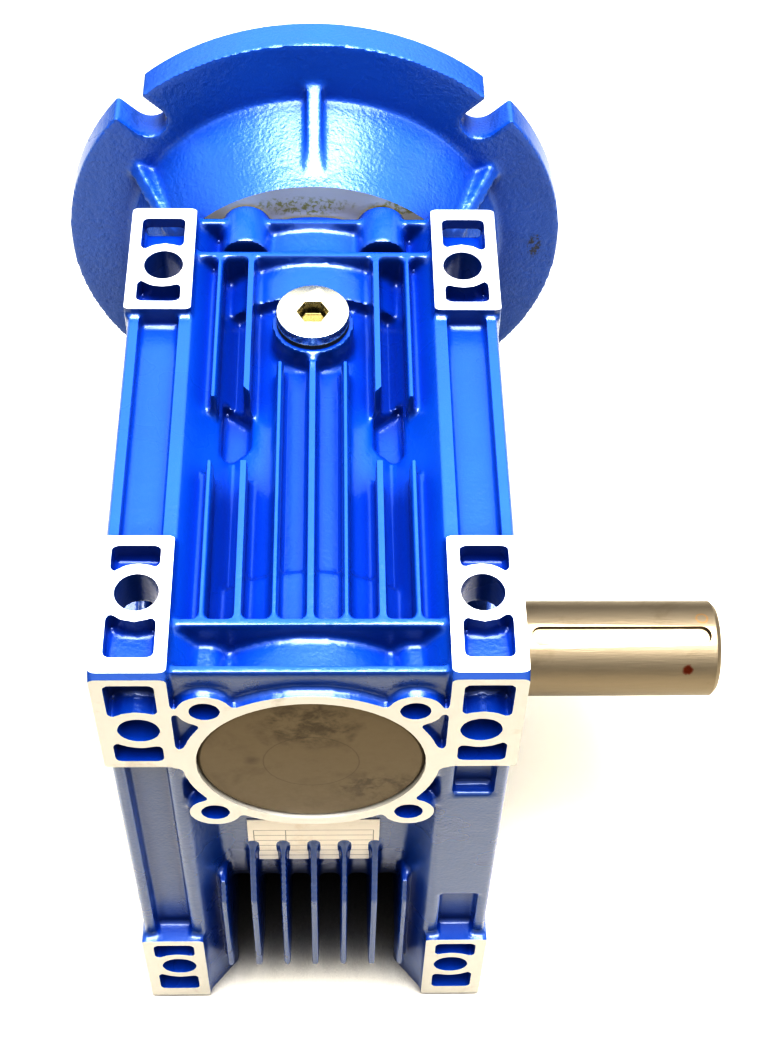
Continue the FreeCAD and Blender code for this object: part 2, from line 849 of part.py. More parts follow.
def screw_bars(name, radius, start, finish, hole=False):
    """The screws of the side cover, or the holes that they pass."""
    def bar(label, centre):
        return many_sided(label, "X", screw_sides, radius, start, finish, centre, hole)
    return circle_bars(name, cover_screws, "cover_screw_circle_radius", bar, cover_screw_angle)


def housing():
    solid = [side_frames(), column_panel(), lower_fins()]
    solid = solid + frame_ribs() + leg_flares() + chamber_walls() + worm_tubes()
    solid = solid + valley_slopes() + end_gussets() + end_ears() + top_ribs() + plug_bosses() + side_bosses()
    holes = pad_cuts() + worm_bores() + output_bores() + ear_holes()
    holes = holes + pocket_blocks()
    thread = "plug_thread_radius + seal_clearance"
    holes.append(rod("FillHole", "Z", thread, "worm_height", "plug_boss_top + 1", ("0", "plug_offset")))
    holes.append(rod("DrainHole", "Z", thread, "fin_bottom - 1", "output_height - room_radius + 1"))
    deep = "side_boss_face - side_bolt_depth"
    holes = holes + side_bolt_holes("SideHole", deep, "side_boss_face + 1")
    drilled = "cover_screw / 2 + seal_clearance"
    tip = "cover_screw_length - cover_ledge + hole_clearance"
    holes = holes + screw_bars("CoverScrewHole", drilled, "-cover_seat - 1", tip, True)
    return node(cut("Housing", fuse("HousingSolid", solid), holes), "housing")


def at_output(item, tilt=None):
    """Moves a piece made about the X axis to the output axis, turned by the key's tilt if it is keyed."""
    place(item, up="output_height")
    if tilt:
        item.Placement = FreeCAD.Placement(FreeCAD.Vector(), FreeCAD.Rotation(FreeCAD.Vector(1, 0, 0), 1))
        item.setExpression("Placement.Rotation.Angle", bound(tilt))
    return item


def at_worm(item):
    return place(item, up="worm_height")


def ring_points(start, finish, inner, outer):
    return [(start, inner), (finish, inner), (finish, outer), (start, outer)]


def ring(name, axis, start, finish, inner, outer):
    return turned(name, axis, ring_points(start, finish, inner, outer))


def side_cover():
    """Bolted cover that carries the left output bearing and seal."""
    bearing = "output_outside / 2 + seat_clearance"
    seal = "output_seal_outside / 2 + seal_clearance"
    opening = "cover_opening_radius - seat_clearance"
    shoulder = "-(output_start + output_width)"
    outline = [
        ("-spigot_face", seal),
        ("-spigot_face", "spigot_radius"),
        ("-side_boss_face", "spigot_radius"),
        ("-side_boss_face", "cover_ledge_radius"),
        ("-cover_ledge", "cover_ledge_radius"),
        ("-cover_ledge", "side_boss_radius"),
        ("-cover_seat", "side_boss_radius"),
        ("-cover_seat", opening),
        ("-output_start", opening),
        ("-output_start", bearing),
        (shoulder, bearing),
        (shoulder, seal),
    ]
    blank = turned("CoverBlank", "X", outline)
    at_output(blank)
    bore = "cover_screw / 2 + hole_clearance / 2"
    tools = screw_bars("CoverBore", bore, "-cover_ledge - 1", "1 - cover_seat", True)
    deep = "side_bolt_depth - side_boss_face"
    tools = tools + side_bolt_holes("CoverSideHole", "-side_boss_face - 1", deep)
    return node(cut("SideCover", blank, tools), "side_cover")


def hex_bar(name, axis, across_flats, start, finish, centre):
    """A six-sided bar or socket."""
    bar = doc.addObject("Part::Prism", name)
    bar.Polygon = 6
    bar.Placement = FreeCAD.Placement(FreeCAD.Vector(), axis_turns[axis])
    bind(bar, Circumradius="(%s) / 2 / cos(30)" % across_flats, Height="(%s) - (%s)" % (finish, start))
    places = list(centre)
    places.insert("XYZ".index(axis), start)
    return place(bar, *places)


def cover_screw_set():
    """Hexagon screws that hold the side cover, below its machined face."""
    def head(label, centre):
        outer = "-cover_ledge - cover_screw_head_height"
        return hex_bar(label, "X", "cover_screw_head", outer, "-cover_ledge", centre)
    circle = "cover_screw_circle_radius"
    heads = circle_bars("ScrewHead", cover_screws, circle, head, cover_screw_angle)
    shanks = screw_bars("ScrewShank", "cover_screw / 2", "-cover_ledge", "cover_screw_length - cover_ledge")
    return node(fuse("CoverScrews", heads + shanks), "side_cover_screws")


def flange_slot(index, angle):
    """A slot open at the rim, its round end on the motor's bolt circle."""
    start, finish = "flange_back - flange_thickness - 1", "flange_back + 1"
    wide = ("-slot_width / 2", "slot_width / 2")
    slot = box("SlotBox%d" % index, ("0", "flange_radius"), (start, finish), wide)
    end = rod("SlotEnd%d" % index, "Y", "slot_width / 2", start, finish, ("0", "0"))
    shape = fuse("Slot%d" % index, [slot, end])
    turn = FreeCAD.Rotation(FreeCAD.Vector(0, 1, 0), -angle)
    shape.Placement = FreeCAD.Placement(FreeCAD.Vector(), turn)
    across, up = on_circle("slot_circle_radius", angle)
    return place(shape, across, "0", "worm_height + " + up)


def flange_ribs():
    """Webs between the cone and the disc, evenly spaced from the top."""
    outline = [
        ("flange_face + neck_lip", "neck_radius"),
        ("flange_back - flange_thickness + 1", "flange_rib_reach"),
        ("flange_back - flange_thickness + 1", "cone_radius - 2"),
    ]
    ribs = []
    for index, angle in enumerate(around(sizes["flange_rib_count"])):
        web = extruded("FlangeRib%d" % index, "YZ_Plane", outline, "flange_rib_thickness")
        web.Placement = FreeCAD.Placement(FreeCAD.Vector(), FreeCAD.Rotation(FreeCAD.Vector(0, 1, 0), angle))
        ribs.append(at_worm(web))
    return ribs


def input_flange():
    """Cone and slotted disc that carry the motor."""
    face = "flange_face"
    front = "flange_back - flange_thickness"
    outline = [
        (face, "throat_radius"),
        (face, "neck_radius"),
        (front, "cone_radius"),
        (front, "flange_radius"),
        ("flange_back", "flange_radius"),
        ("flange_back", "pilot_radius"),
        ("flange_back - pilot_depth", "pilot_radius"),
        ("flange_back - pilot_depth", "neck_radius"),
        (face + " + end_plate_thickness", "neck_radius"),
        (face + " + end_plate_thickness", "throat_radius"),
    ]
    cone = at_worm(turned("FlangeCone", "Y", outline))
    solid = fuse("FlangeSolid", [cone] + flange_ribs())
    tools = [flange_slot(index, angle) for index, angle in enumerate(around(4, 45.0))]
    finish = face + " + end_plate_thickness + 1"
    for name, across, up in corner_signs():
        bore = "flange_bolt / 2 + hole_clearance / 2"
        centre = input_bolt(across, up)
        drilled = many_sided(name + "FlangeBore", "Y", screw_sides, bore, "half_depth", finish, centre, True)
        tools.append(drilled)
    return node(cut("InputFlange", solid, tools), "input_flange")


def corner_signs():
    corners = []
    for side, across in mirrored.items():
        corners.append((side + "Low", across, "-1"))
        corners.append((side + "High", across, "1"))
    return corners


def flange_bolt_set():
    """Hexagon bolts that hold the motor flange, put in from the motor's side."""
    seat = "flange_face + end_plate_thickness"
    pieces = []
    for name, across, up in corner_signs():
        centre = input_bolt(across, up)
        start = seat + " - flange_bolt_length"
        shank = many_sided(name + "BoltShank", "Y", screw_sides, "flange_bolt / 2", start, seat, centre)
        pieces.append(shank)
        top = seat + " + flange_bolt_head_height"
        pieces.append(hex_bar(name + "BoltHead", "Y", "flange_bolt_head", seat, top, centre))
    return node(fuse("FlangeBolts", pieces), "flange_bolts")


def input_gasket():
    """Narrow gasket inside the bolts, between housing and motor flange."""
    inner = "input_outside / 2 + 1"
    outer = "input_bolt_circle_radius - flange_bolt / 2 - 1"
    gasket = faceted_ring("InputGasket", "Y", seal_sides, "half_depth", "flange_face", inner, outer)
    return node(at_worm(gasket), "input_gasket")


def bearing(label, axis, start, prefix, settle):
    """Outer ring, inner ring and the row of balls with its cage, in the space between them."""
    finish = "%s + %s_width" % (start, prefix)
    ring_wall = "ring_share * (%s_outside - %s_bore) / 2" % (prefix, prefix)
    outside = "%s_outside / 2" % prefix
    bore = "%s_bore / 2" % prefix
    name = label.title().replace("_", "")
    outer_wall = outside + " - " + ring_wall
    inner_wall = bore + " + " + ring_wall
    inset = "%s_width / 5" % prefix
    low = inner_wall + " + ball_clearance"
    high = outer_wall + " - ball_clearance"
    row_start, row_end = start + " + " + inset, finish + " - " + inset
    pieces = {
        "outer_ring": faceted_ring(name + "Outer", axis, bearing_sides, start, finish, outer_wall, outside),
        "inner_ring": faceted_ring(name + "Inner", axis, bearing_sides, start, finish, bore, inner_wall),
        "ball_row": faceted_ring(name + "Balls", axis, ball_row_sides, row_start, row_end, low, high),
    }
    for part, item in pieces.items():
        node(settle(item), label + "_" + part)


def end_cap():
    """Pressed cap that closes the rear of the worm's bore."""
    rear = "rear_outside / 2"
    cap_start = "cap_recess - half_depth"
    cap = turned("EndCap", "Y", [
        (cap_start, "0"),
        (cap_start, rear + " - cap_chamfer"),
        (cap_start + " + cap_chamfer", rear),
        (cap_start + " + cap_width", rear),
        (cap_start + " + cap_width", "0"),
    ])
    return node(at_worm(cap), "rear_end_cap")


def oil_seals():
    """Lip seals on the hollow output shaft, both sides, and on the worm at the motor's end."""
    seals = []
    inner = "output_bore / 2 + seal_clearance"
    outer = "output_seal_outside / 2"
    for side, across in mirrored.items():
        finish = "spigot_face - output_seal_recess"
        start, finish = span(across, finish + " - output_seal_width", finish)
        seal = faceted_ring(side.title() + "Seal", "X", seal_sides, start, finish, inner, outer)
        seals.append(at_output(seal))
    start, finish = "input_seal_start", "input_seal_start + input_seal_width"
    inner = "input_bore / 2 + seal_clearance"
    input_seal = faceted_ring("InputSeal", "Y", seal_sides, start, finish, inner, "input_outside / 2")
    seals.append(at_worm(input_seal))
    return node(fuse("OilSeals", seals), "oil_seals")


def faceted_solid(sections, closed=False):
    """A solid of flat triangles over a row of outlines; the last meets the first if it is closed."""
    faces = []
    following = sections[1:]
    if closed:
        following = following + sections[:1]
    else:
        for corners in (sections[0], sections[-1]):
            faces.append(Part.Face(Part.makePolygon(corners + corners[:1])))
    for near, far in zip(sections, following):
        for index in range(len(near)):
            after = (index + 1) % len(near)
            for corners in ((near[index], near[after], far[after]), (near[index], far[after], far[index])):
                faces.append(Part.Face(Part.makePolygon(corners + corners[:1])))
    solid = Part.makeSolid(Part.makeShell(faces))
    if solid.Volume < 0:
        solid.reverse()
    return solid


def helical_solid(outline_at, reach, steps, lead):
    """Carries an outline, given as distance from the worm axis and place along it, round that axis.

    It runs equally far to both sides of the wheel's side, which is the local Y direction.
    """
    sections = []
    for index in range(steps + 1):
        degrees = reach * (2.0 * index / steps - 1)
        angle = math.radians(90 + degrees)
        shift = lead * degrees / 360
        corners = []
        for radius, along in outline_at(degrees):
            across, up = radius * math.cos(angle), radius * math.sin(angle)
            corners.append(FreeCAD.Vector(across, up, along + shift))
        sections.append(corners)
    return faceted_solid(sections)


def worm_thread():
    """One right-hand thread of trapezoid section with flat facets, centred over the wheel."""
    module = sizes["gear_module"]
    lead = math.pi * module
    worm_pitch = sizes["centre_distance"] - module * sizes["wheel_teeth"] / 2.0
    slope = math.tan(math.radians(sizes["pressure_angle"]))
    half = math.pi * module / 4 - sizes["tooth_backlash"] / 2
    tip = worm_pitch + module
    root = worm_pitch - 1.25 * module - sizes["thread_sink"]
    narrow = half - module * slope
    wide = half + (worm_pitch - root) * slope
    outline = [(root, -wide), (tip, -narrow), (tip, narrow), (root, wide)]
    reach = 180 * sizes["thread_turns"]
    thread = doc.addObject("Part::Feature", "Thread")
    thread.Shape = helical_solid(lambda degrees: outline, reach, int(sizes["thread_steps"]), lead)
    thread.Placement = FreeCAD.Placement(FreeCAD.Vector(), axis_turns["Y"])
    return thread


def worm_shaft():
    """Worm shaft with hollow end: bearing seats, shoulders, threaded core and the motor's bore."""
    core = "worm_pitch_radius - 1.25 * gear_module"
    rear_seat = "rear_bore / 2 - seat_clearance"
    input_seat = "input_bore / 2 - seat_clearance"
    rear_end = "-(rear_start + rear_width)"
    rear_part = turned("WormRearEnd", "Y", [
        (rear_end, "0"),
        (rear_end, rear_seat),
        ("-rear_start", rear_seat),
        ("-rear_start", "worm_shoulder_radius"),
        ("-worm_core_start", "worm_shoulder_radius"),
        ("-worm_core_start", "0"),
    ])
    input_part = turned("WormInputEnd", "Y", [
        ("worm_core_start", "0"),
        ("worm_core_start", "input_bore / 2 + input_shoulder"),
        ("input_start", "input_bore / 2 + input_shoulder"),
        ("input_start", input_seat),
        ("worm_end", input_seat),
        ("worm_end", "0"),
    ])
    middle = many_sided("WormCore", "Y", core_sides, core, "-worm_core_start", "worm_core_start")
    start = "worm_end - motor_bore_depth"
    bore = rod("MotorBore", "Y", "motor_bore / 2", start, "worm_end + 1")
    rise = "motor_bore / 2 + motor_key_rise"
    wide = ("-motor_key_width / 2", "motor_key_width / 2")
    keyway = box("MotorKeyway", wide, (start, "worm_end + 1"), ("0", rise))
    solid = fuse("WormSolid", [rear_part, middle, input_part, worm_thread()])
    return node(at_worm(cut("WormShaft", solid, [bore, keyway])), "worm_shaft")


def gap_half_width(radius):
    """Half of the gap between two involute teeth at a distance from the wheel's axis."""
    teeth = sizes["wheel_teeth"]
    pressure = math.radians(sizes["pressure_angle"])
    base = sizes["gear_module"] * teeth / 2.0 * math.cos(pressure)
    turn = math.acos(base / max(radius, base))
    involute = math.tan(pressure) - pressure
    half_tooth = radius * (math.pi / 2 / teeth + involute - math.tan(turn) + turn)
    return math.pi * radius / teeth - half_tooth + sizes["tooth_backlash"] / 2


def gap_outline(degrees):
    """Section of a gap, at an angle round the worm axis from the middle of the wheel's face."""
    module = sizes["gear_module"]
    centre = sizes["centre_distance"]
    worm_pitch = centre - module * sizes["wheel_teeth"] / 2.0
    outermost = centre - sizes["wheel_rim_radius"] - 1
    distances = (outermost, worm_pitch, worm_pitch + module + sizes["tip_clearance"])
    swell = 1 / math.cos(math.radians(sizes["gap_reach"] / sizes["gap_steps"]))
    half_widths = []
    for distance in distances:
        wheel_radius = centre - distance * math.cos(math.radians(degrees))
        half_widths.append((distance * swell, gap_half_width(wheel_radius)))
    return half_widths + [(distance, -width) for distance, width in reversed(half_widths)]


def wheel_rim():
    """Bronze rim with a throat and thirty gaps cut along the worm's thread, with flat facets."""
    centre = sizes["centre_distance"]
    module = sizes["gear_module"]
    teeth = int(sizes["wheel_teeth"])
    half = sizes["wheel_face"] / 2.0
    rim = sizes["wheel_rim_radius"]
    throat = centre - module * teeth / 2.0 - module
    seat = sizes["wheel_seat_radius"]
    facet = math.radians(30)
    shoulder = throat * math.tan(facet)
    crest = centre - throat
    side = math.sqrt((throat / math.cos(facet)) ** 2 - (centre - rim) ** 2)
    profile = [(-half, seat), (half, seat), (half, rim), (side, rim), (shoulder, crest)]
    profile = profile + [(-shoulder, crest), (-side, rim), (-half, rim)]
    swell = 1 / math.cos(math.pi / teeth)
    sections = []
    for angle in around(teeth):
        turn = math.radians(angle)
        corners = []
        for across, up in profile:
            reach = up * swell
            corners.append(FreeCAD.Vector(across, -reach * math.sin(turn), reach * math.cos(turn)))
        sections.append(corners)
    blank = faceted_solid(sections, closed=True)
    gap = helical_solid(gap_outline, sizes["gap_reach"], int(sizes["gap_steps"]), math.pi * module)
    gap.Placement = FreeCAD.Placement(FreeCAD.Vector(0, 0, centre), axis_turns["Y"])
    gaps = []
    for angle in around(teeth):
        turned_gap = gap.copy()
        turned_gap.rotate(FreeCAD.Vector(), FreeCAD.Vector(1, 0, 0), angle)
        gaps.append(turned_gap)
    crown = doc.addObject("Part::Feature", "WheelCrown")
    crown.Shape = blank.cut(gaps)
    return node(at_output(crown), "worm_wheel_rim")


def wheel_hub():
    """Hollow output shaft with the web that carries the bronze rim."""
    seat = "wheel_seat_radius - seat_clearance"
    journal = "output_bore / 2 - seat_clearance"
    half_face = "wheel_face / 2"
    bore = "output_shaft_diameter / 2 + seat_clearance"
    outline = [
        ("-hub_half_length", bore),
        ("-hub_half_length", journal),
        ("-output_start", journal),
        ("-output_start", "hub_shoulder_radius"),
        ("-(%s)" % half_face, "hub_shoulder_radius"),
        ("-(%s)" % half_face, seat),
        (half_face, seat),
        (half_face, "hub_shoulder_radius"),
        ("output_start", "hub_shoulder_radius"),
        ("output_start", journal),
        ("hub_half_length", journal),
        ("hub_half_length", bore),
    ]
    blank = turned("HubBlank", "X", outline)
    wide = ("-key_width / 2 - seat_clearance", "key_width / 2 + seat_clearance")
    tall = ("0", "output_shaft_diameter / 2 + hub_key_rise + seat_clearance")
    keyway = box("HubKeyway", ("-hub_half_length - 1", "hub_half_length + 1"), wide, tall)
    return node(at_output(cut("WheelHub", blank, [keyway]), "key_tilt"), "wheel_hub")


def key_slot(name, start, finish, low):
    """A keyway with round ends, cut down to a level in the shaft."""
    half = "key_width / 2"
    high = "output_shaft_diameter / 2 + 1"
    first = start + " + " + half
    last = "%s - %s" % (finish, half)
    middle = box(name + "Middle", (first, last), ("-" + half, half), (low, high))
    near_end = rod(name + "First", "Z", half, low, high, (first, "0"))
    far_end = rod(name + "Last", "Z", half, low, high, (last, "0"))
    return fuse(name, [middle, near_end, far_end])


def output_shaft():
    """Plug-in output shaft with two keyways, a collar against the hub and a tapped inner end."""
    radius = "output_shaft_diameter / 2"
    start = "shaft_inset - hub_half_length"
    collar = "hub_half_length + shaft_collar_gap"
    outline = [
        (start, "0"),
        (start, radius),
        (collar, radius),
        (collar, "shaft_collar_radius"),
        (collar + " + shaft_collar_width", "shaft_collar_radius"),
        (collar + " + shaft_collar_width", radius),
        ("shaft_tip - shaft_chamfer", radius),
        ("shaft_tip", radius + " - shaft_chamfer"),
        ("shaft_tip", "0"),
    ]
    blank = turned("ShaftBlank", "X", outline)
    low = radius + " - key_depth"
    visible = key_slot("ShaftKeyway", "key_start", "key_finish", low)
    key_reach = "hub_key_half_length + seal_clearance"
    half = "key_width / 2 + seat_clearance"
    top = radius + " + 1"
    wide = ("-(%s)" % half, half)
    inner = box("HubKeySeat", ("-(%s)" % key_reach, key_reach), wide, (low, top))
    drilled = "retainer_bolt / 2 + seal_clearance"
    thread = rod("RetainerHole", "X", drilled, start + " - 1", start + " + retainer_bolt_length")
    return node(at_output(cut("OutputShaft", blank, [visible, inner, thread]), "key_tilt"), "output_shaft")


def hub_key():
    low = "output_shaft_diameter / 2 - key_depth + seat_clearance"
    high = "output_shaft_diameter / 2 + hub_key_rise"
    start, finish = "-hub_key_half_length", "hub_key_half_length"
    outline = [(start, low), (finish, low), (finish, high), (start, high)]
    return node(at_output(extruded("HubKey", "XZ_Plane", outline, "key_width"), "key_tilt"), "hub_key")


def retainer():
    """Washer and hexagon bolt that hold the output shaft in the hub."""
    face = "-hub_half_length"
    outer = face + " - retainer_thickness"
    bore = "retainer_bolt / 2 + hole_clearance / 2"
    washer = faceted_ring("RetainerWasher", "X", seal_sides, outer, face, bore, "retainer_radius")
    node(at_output(washer), "shaft_retaining_washer")
    tip = outer + " + retainer_bolt_length"
    shank = many_sided("RetainerShank", "X", shank_sides, "retainer_bolt / 2", outer, tip)
    top = outer + " - retainer_head_height"
    head = hex_bar("RetainerHead", "X", "retainer_head_width", top, outer, ("0", "0"))
    return node(at_output(fuse("RetainerBolt", [shank, head])), "shaft_retaining_bolt")


def plug(label, along, seat, direction):
    """Socket plug and its sealing washer; the plug points away from the housing."""
    name = label.title().replace("_", "")
    washer = "washer_thickness"
    head = washer + " + plug_head_height"
    shank_end = washer + " - plug_thread_length"
    shank = many_sided(name + "Shank", "Z", shank_sides, "plug_thread_radius", shank_end, washer + " + 1")
    rim = many_sided(name + "Rim", "Z", seal_sides, "plug_head_radius", washer, head)
    low = head + " - plug_socket_depth"
    socket = hex_bar(name + "Socket", "Z", "plug_socket", low, head + " + 1", ("0", "0"))
    body = cut(name, fuse(name + "Solid", [shank, rim]), [socket])
    inner = "plug_thread_radius + seal_clearance"
    seal = faceted_ring(name + "Washer", "Z", seal_sides, "0", washer, inner, "plug_head_radius")
    turned = FreeCAD.Rotation(FreeCAD.Vector(1, 0, 0), direction)
    for item, ending in ((body, ""), (seal, "_washer")):
        item.Placement = FreeCAD.Placement(FreeCAD.Vector(), turned)
        node(place(item, "0", along, seat), label + ending)


def nameplate():
    plate = box(
        "Nameplate",
        ("-nameplate_width / 2", "nameplate_width / 2"),
        ("-front_wall_depth - nameplate_thickness", "-front_wall_depth"),
        ("nameplate_low", "nameplate_high"),
    )
    return node(plate, "nameplate")


housing()
side_cover()
cover_screw_set()
input_flange()
flange_bolt_set()
input_gasket()
end_cap()
oil_seals()
bearing("rear_bearing", "Y", "-rear_start - rear_width", "rear", at_worm)
bearing("input_bearing", "Y", "input_start", "input", at_worm)
bearing("right_bearing", "X", "output_start", "output", at_output)
bearing("left_bearing", "X", "-output_start - output_width", "output", at_output)
worm_shaft()
wheel_rim()
wheel_hub()
output_shaft()
hub_key()
retainer()
plug("fill_plug", "plug_offset", "plug_boss_top", 0)
plug("drain_plug", "0", "fin_bottom", 180)
nameplate()
doc.recompute()

for item in doc.Objects:
    if "Invalid" in item.State or "Error" in item.State:
        raise RuntimeError("%s failed: %s" % (item.Name, item.State))
for label, item in node_objects.items():
    if item.Shape.isNull() or not item.Shape.isValid():
        raise RuntimeError("%s has no valid shape" % label)
for label, item in node_objects.items():
    item.Shape.exportStep("parts/%s.step" % label)
    print("%-28s %d solids %12.1f mm3" % (label, len(item.Shape.Solids), item.Shape.Volume))
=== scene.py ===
# Looks of the worm gear reducer, in metres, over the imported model
import json
import math

import bmesh
import bpy
from mathutils import Matrix, Vector

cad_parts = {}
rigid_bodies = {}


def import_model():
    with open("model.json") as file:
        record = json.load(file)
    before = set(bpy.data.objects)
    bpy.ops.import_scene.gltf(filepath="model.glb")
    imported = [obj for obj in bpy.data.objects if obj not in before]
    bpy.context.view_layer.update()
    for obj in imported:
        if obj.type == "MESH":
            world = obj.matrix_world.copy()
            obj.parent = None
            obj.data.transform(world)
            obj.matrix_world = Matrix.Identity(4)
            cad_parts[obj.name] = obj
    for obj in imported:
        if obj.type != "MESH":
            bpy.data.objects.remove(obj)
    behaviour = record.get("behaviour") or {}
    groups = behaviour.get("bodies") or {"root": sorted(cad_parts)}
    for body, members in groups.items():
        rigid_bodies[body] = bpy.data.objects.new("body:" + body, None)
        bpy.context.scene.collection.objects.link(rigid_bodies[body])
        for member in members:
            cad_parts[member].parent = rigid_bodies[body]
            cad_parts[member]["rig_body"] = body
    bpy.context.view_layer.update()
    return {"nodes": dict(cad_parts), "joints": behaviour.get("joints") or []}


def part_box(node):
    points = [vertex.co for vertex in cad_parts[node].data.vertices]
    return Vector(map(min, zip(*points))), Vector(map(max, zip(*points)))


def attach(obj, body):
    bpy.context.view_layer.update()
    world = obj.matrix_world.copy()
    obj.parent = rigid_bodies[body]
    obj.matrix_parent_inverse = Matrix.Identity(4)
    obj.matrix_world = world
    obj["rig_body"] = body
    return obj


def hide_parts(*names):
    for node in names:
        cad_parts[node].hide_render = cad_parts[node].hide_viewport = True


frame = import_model()
nodes = frame["nodes"]
print("frame loaded:", len(nodes), "nodes")

alongX = 0
alongY = 1
alongZ = 2
pivots = {joint["name"]: Vector(joint["pos_m"]) for joint in frame["joints"]}
outputAxis = pivots["wheel_spin"]
wormAxis = pivots["worm_spin"]


# Node helpers

def addNode(tree, kind, inputs=None, **settings):
    node = tree.nodes.new("ShaderNode" + kind)
    for key, value in settings.items():
        setattr(node, key, value)
    for key, value in (inputs or {}).items():
        node.inputs[key].default_value = value
    return node


def addMath(tree, operation, *values, clamp=False):
    node = addNode(tree, "Math", operation=operation, use_clamp=clamp)
    for socket, value in zip(node.inputs, values):
        if isinstance(value, (int, float)):
            socket.default_value = value
        else:
            tree.links.new(value, socket)
    return node.outputs[0]


# A Mix node keeps its colours in these sockets
mixSockets = {
    "factor": 0,
    "first": 6,
    "second": 7,
    "result": 2,
}


def mixColor(tree, factor, first, second):
    node = addNode(tree, "Mix", data_type="RGBA")
    tree.links.new(factor, node.inputs[mixSockets["factor"]])
    for key, color in (("first", first), ("second", second)):
        socket = node.inputs[mixSockets[key]]
        if isinstance(color, tuple):
            socket.default_value = (*color, 1)
        else:
            tree.links.new(color, socket)
    return node.outputs[mixSockets["result"]]


# Camera and studio

camera = {
    "lens": 59.81,
    "film": 36.0,
    "clip": (0.01, 20.0),
    "place": (0.0060, -0.3196, 0.5765),
    "right": (0.9996, -0.0165, 0.0218),
    "down": (0.0000, -0.7969, -0.6041),
    "forward": (0.0273, 0.6039, -0.7966),
}

studio = {
    "skyColor": (1.0, 1.0, 1.0),
    "skyStrength": 0.05,
    "wallHeights": (-0.05, 0.42),  # where the white of the walls begins, and where it is full
    "wallGlow": (0.25, 2.0),       # how bright the walls are below and above that
    "backdropColor": (1.0, 1.0, 1.0),
    "softboxes": {
        "topSoftbox": {"place": (0.03, -0.18, 1.40), "size": 1.3, "power": 66.0},
        "rightSoftbox": {"place": (1.60, -0.20, 0.80), "size": 1.0, "power": 6.0},
    },
    "softboxAim": (0.0, 0.0, 0.1),
    "exposure": 0.0,
    "gamma": 0.58,
}


def addCamera():
    lens = bpy.data.cameras.new("photoCamera")
    lens.lens = camera["lens"]
    lens.sensor_width = camera["film"]
    lens.sensor_fit = "AUTO"
    lens.clip_start, lens.clip_end = camera["clip"]
    body = bpy.data.objects.new("photoCamera", lens)
    right = Vector(camera["right"])
    up = -Vector(camera["down"])
    back = -Vector(camera["forward"])
    turn = Matrix((right, up, back)).transposed().to_4x4()
    body.matrix_world = Matrix.Translation(camera["place"]) @ turn
    bpy.context.scene.collection.objects.link(body)
    bpy.context.scene.camera = body


def addSoftbox(name, place, size, power):
    light = bpy.data.lights.new(name, "AREA")
    light.shape = "SQUARE"
    light.size = size
    light.energy = power
    body = bpy.data.objects.new(name, light)
    sight = Vector(studio["softboxAim"]) - Vector(place)
    aim = sight.to_track_quat("-Z", "Y").to_matrix().to_4x4()
    body.matrix_world = Matrix.Translation(place) @ aim
    bpy.context.scene.collection.objects.link(body)


# Glossy surfaces mirror the studio's bright walls, and the lens sees plain white past the floor
def addSky():
    world = bpy.data.worlds.new("paleStudio")
    bpy.context.scene.world = world
    world.use_nodes = True
    tree = world.node_tree
    sky = tree.nodes["Background"]
    sky.inputs["Color"].default_value = (*studio["skyColor"], 1)
    seen = addNode(tree, "LightPath")
    wallFoot, wallHead = studio["wallHeights"]
    dimWall, brightWall = studio["wallGlow"]
    height = addNode(tree, "SeparateXYZ")
    tree.links.new(addNode(tree, "TexCoord").outputs["Generated"], height.inputs[0])
    wall = addNode(
        tree, "MapRange",
        {"From Min": wallFoot, "From Max": wallHead, "To Min": dimWall, "To Max": brightWall},
    )
    tree.links.new(height.outputs["Z"], wall.inputs["Value"])
    glow = addNode(tree, "MapRange", {"To Min": studio["skyStrength"]})
    tree.links.new(seen.outputs["Is Glossy Ray"], glow.inputs["Value"])
    tree.links.new(wall.outputs["Result"], glow.inputs["To Max"])
    tree.links.new(glow.outputs["Result"], sky.inputs["Strength"])
    backdrop = addNode(tree, "Background", {"Color": (*studio["backdropColor"], 1)})
    blend = addNode(tree, "MixShader")
    tree.links.new(seen.outputs["Is Camera Ray"], blend.inputs["Fac"])
    tree.links.new(sky.outputs[0], blend.inputs[1])
    tree.links.new(backdrop.outputs[0], blend.inputs[2])
    tree.links.new(blend.outputs[0], tree.nodes["World Output"].inputs["Surface"])


def addStudio():
    addSky()
    for name, box in studio["softboxes"].items():
        addSoftbox(name, box["place"], box["size"], box["power"])
    view = bpy.context.scene.view_settings
    view.view_transform = "Standard"
    view.look = "None"
    view.exposure = studio["exposure"]
    view.gamma = studio["gamma"]


# Effects that several materials share

def newGroup(name, inputs, outputs):
    tree = bpy.data.node_groups.new(name, "ShaderNodeTree")
    for label, kind, value in inputs:
        socket = tree.interface.new_socket(name=label, in_out="INPUT", socket_type="NodeSocket" + kind)
        socket.default_value = value
    for label in outputs:
        tree.interface.new_socket(name=label, in_out="OUTPUT", socket_type="NodeSocketFloat")
    return tree, tree.nodes.new("NodeGroupInput"), tree.nodes.new("NodeGroupOutput")


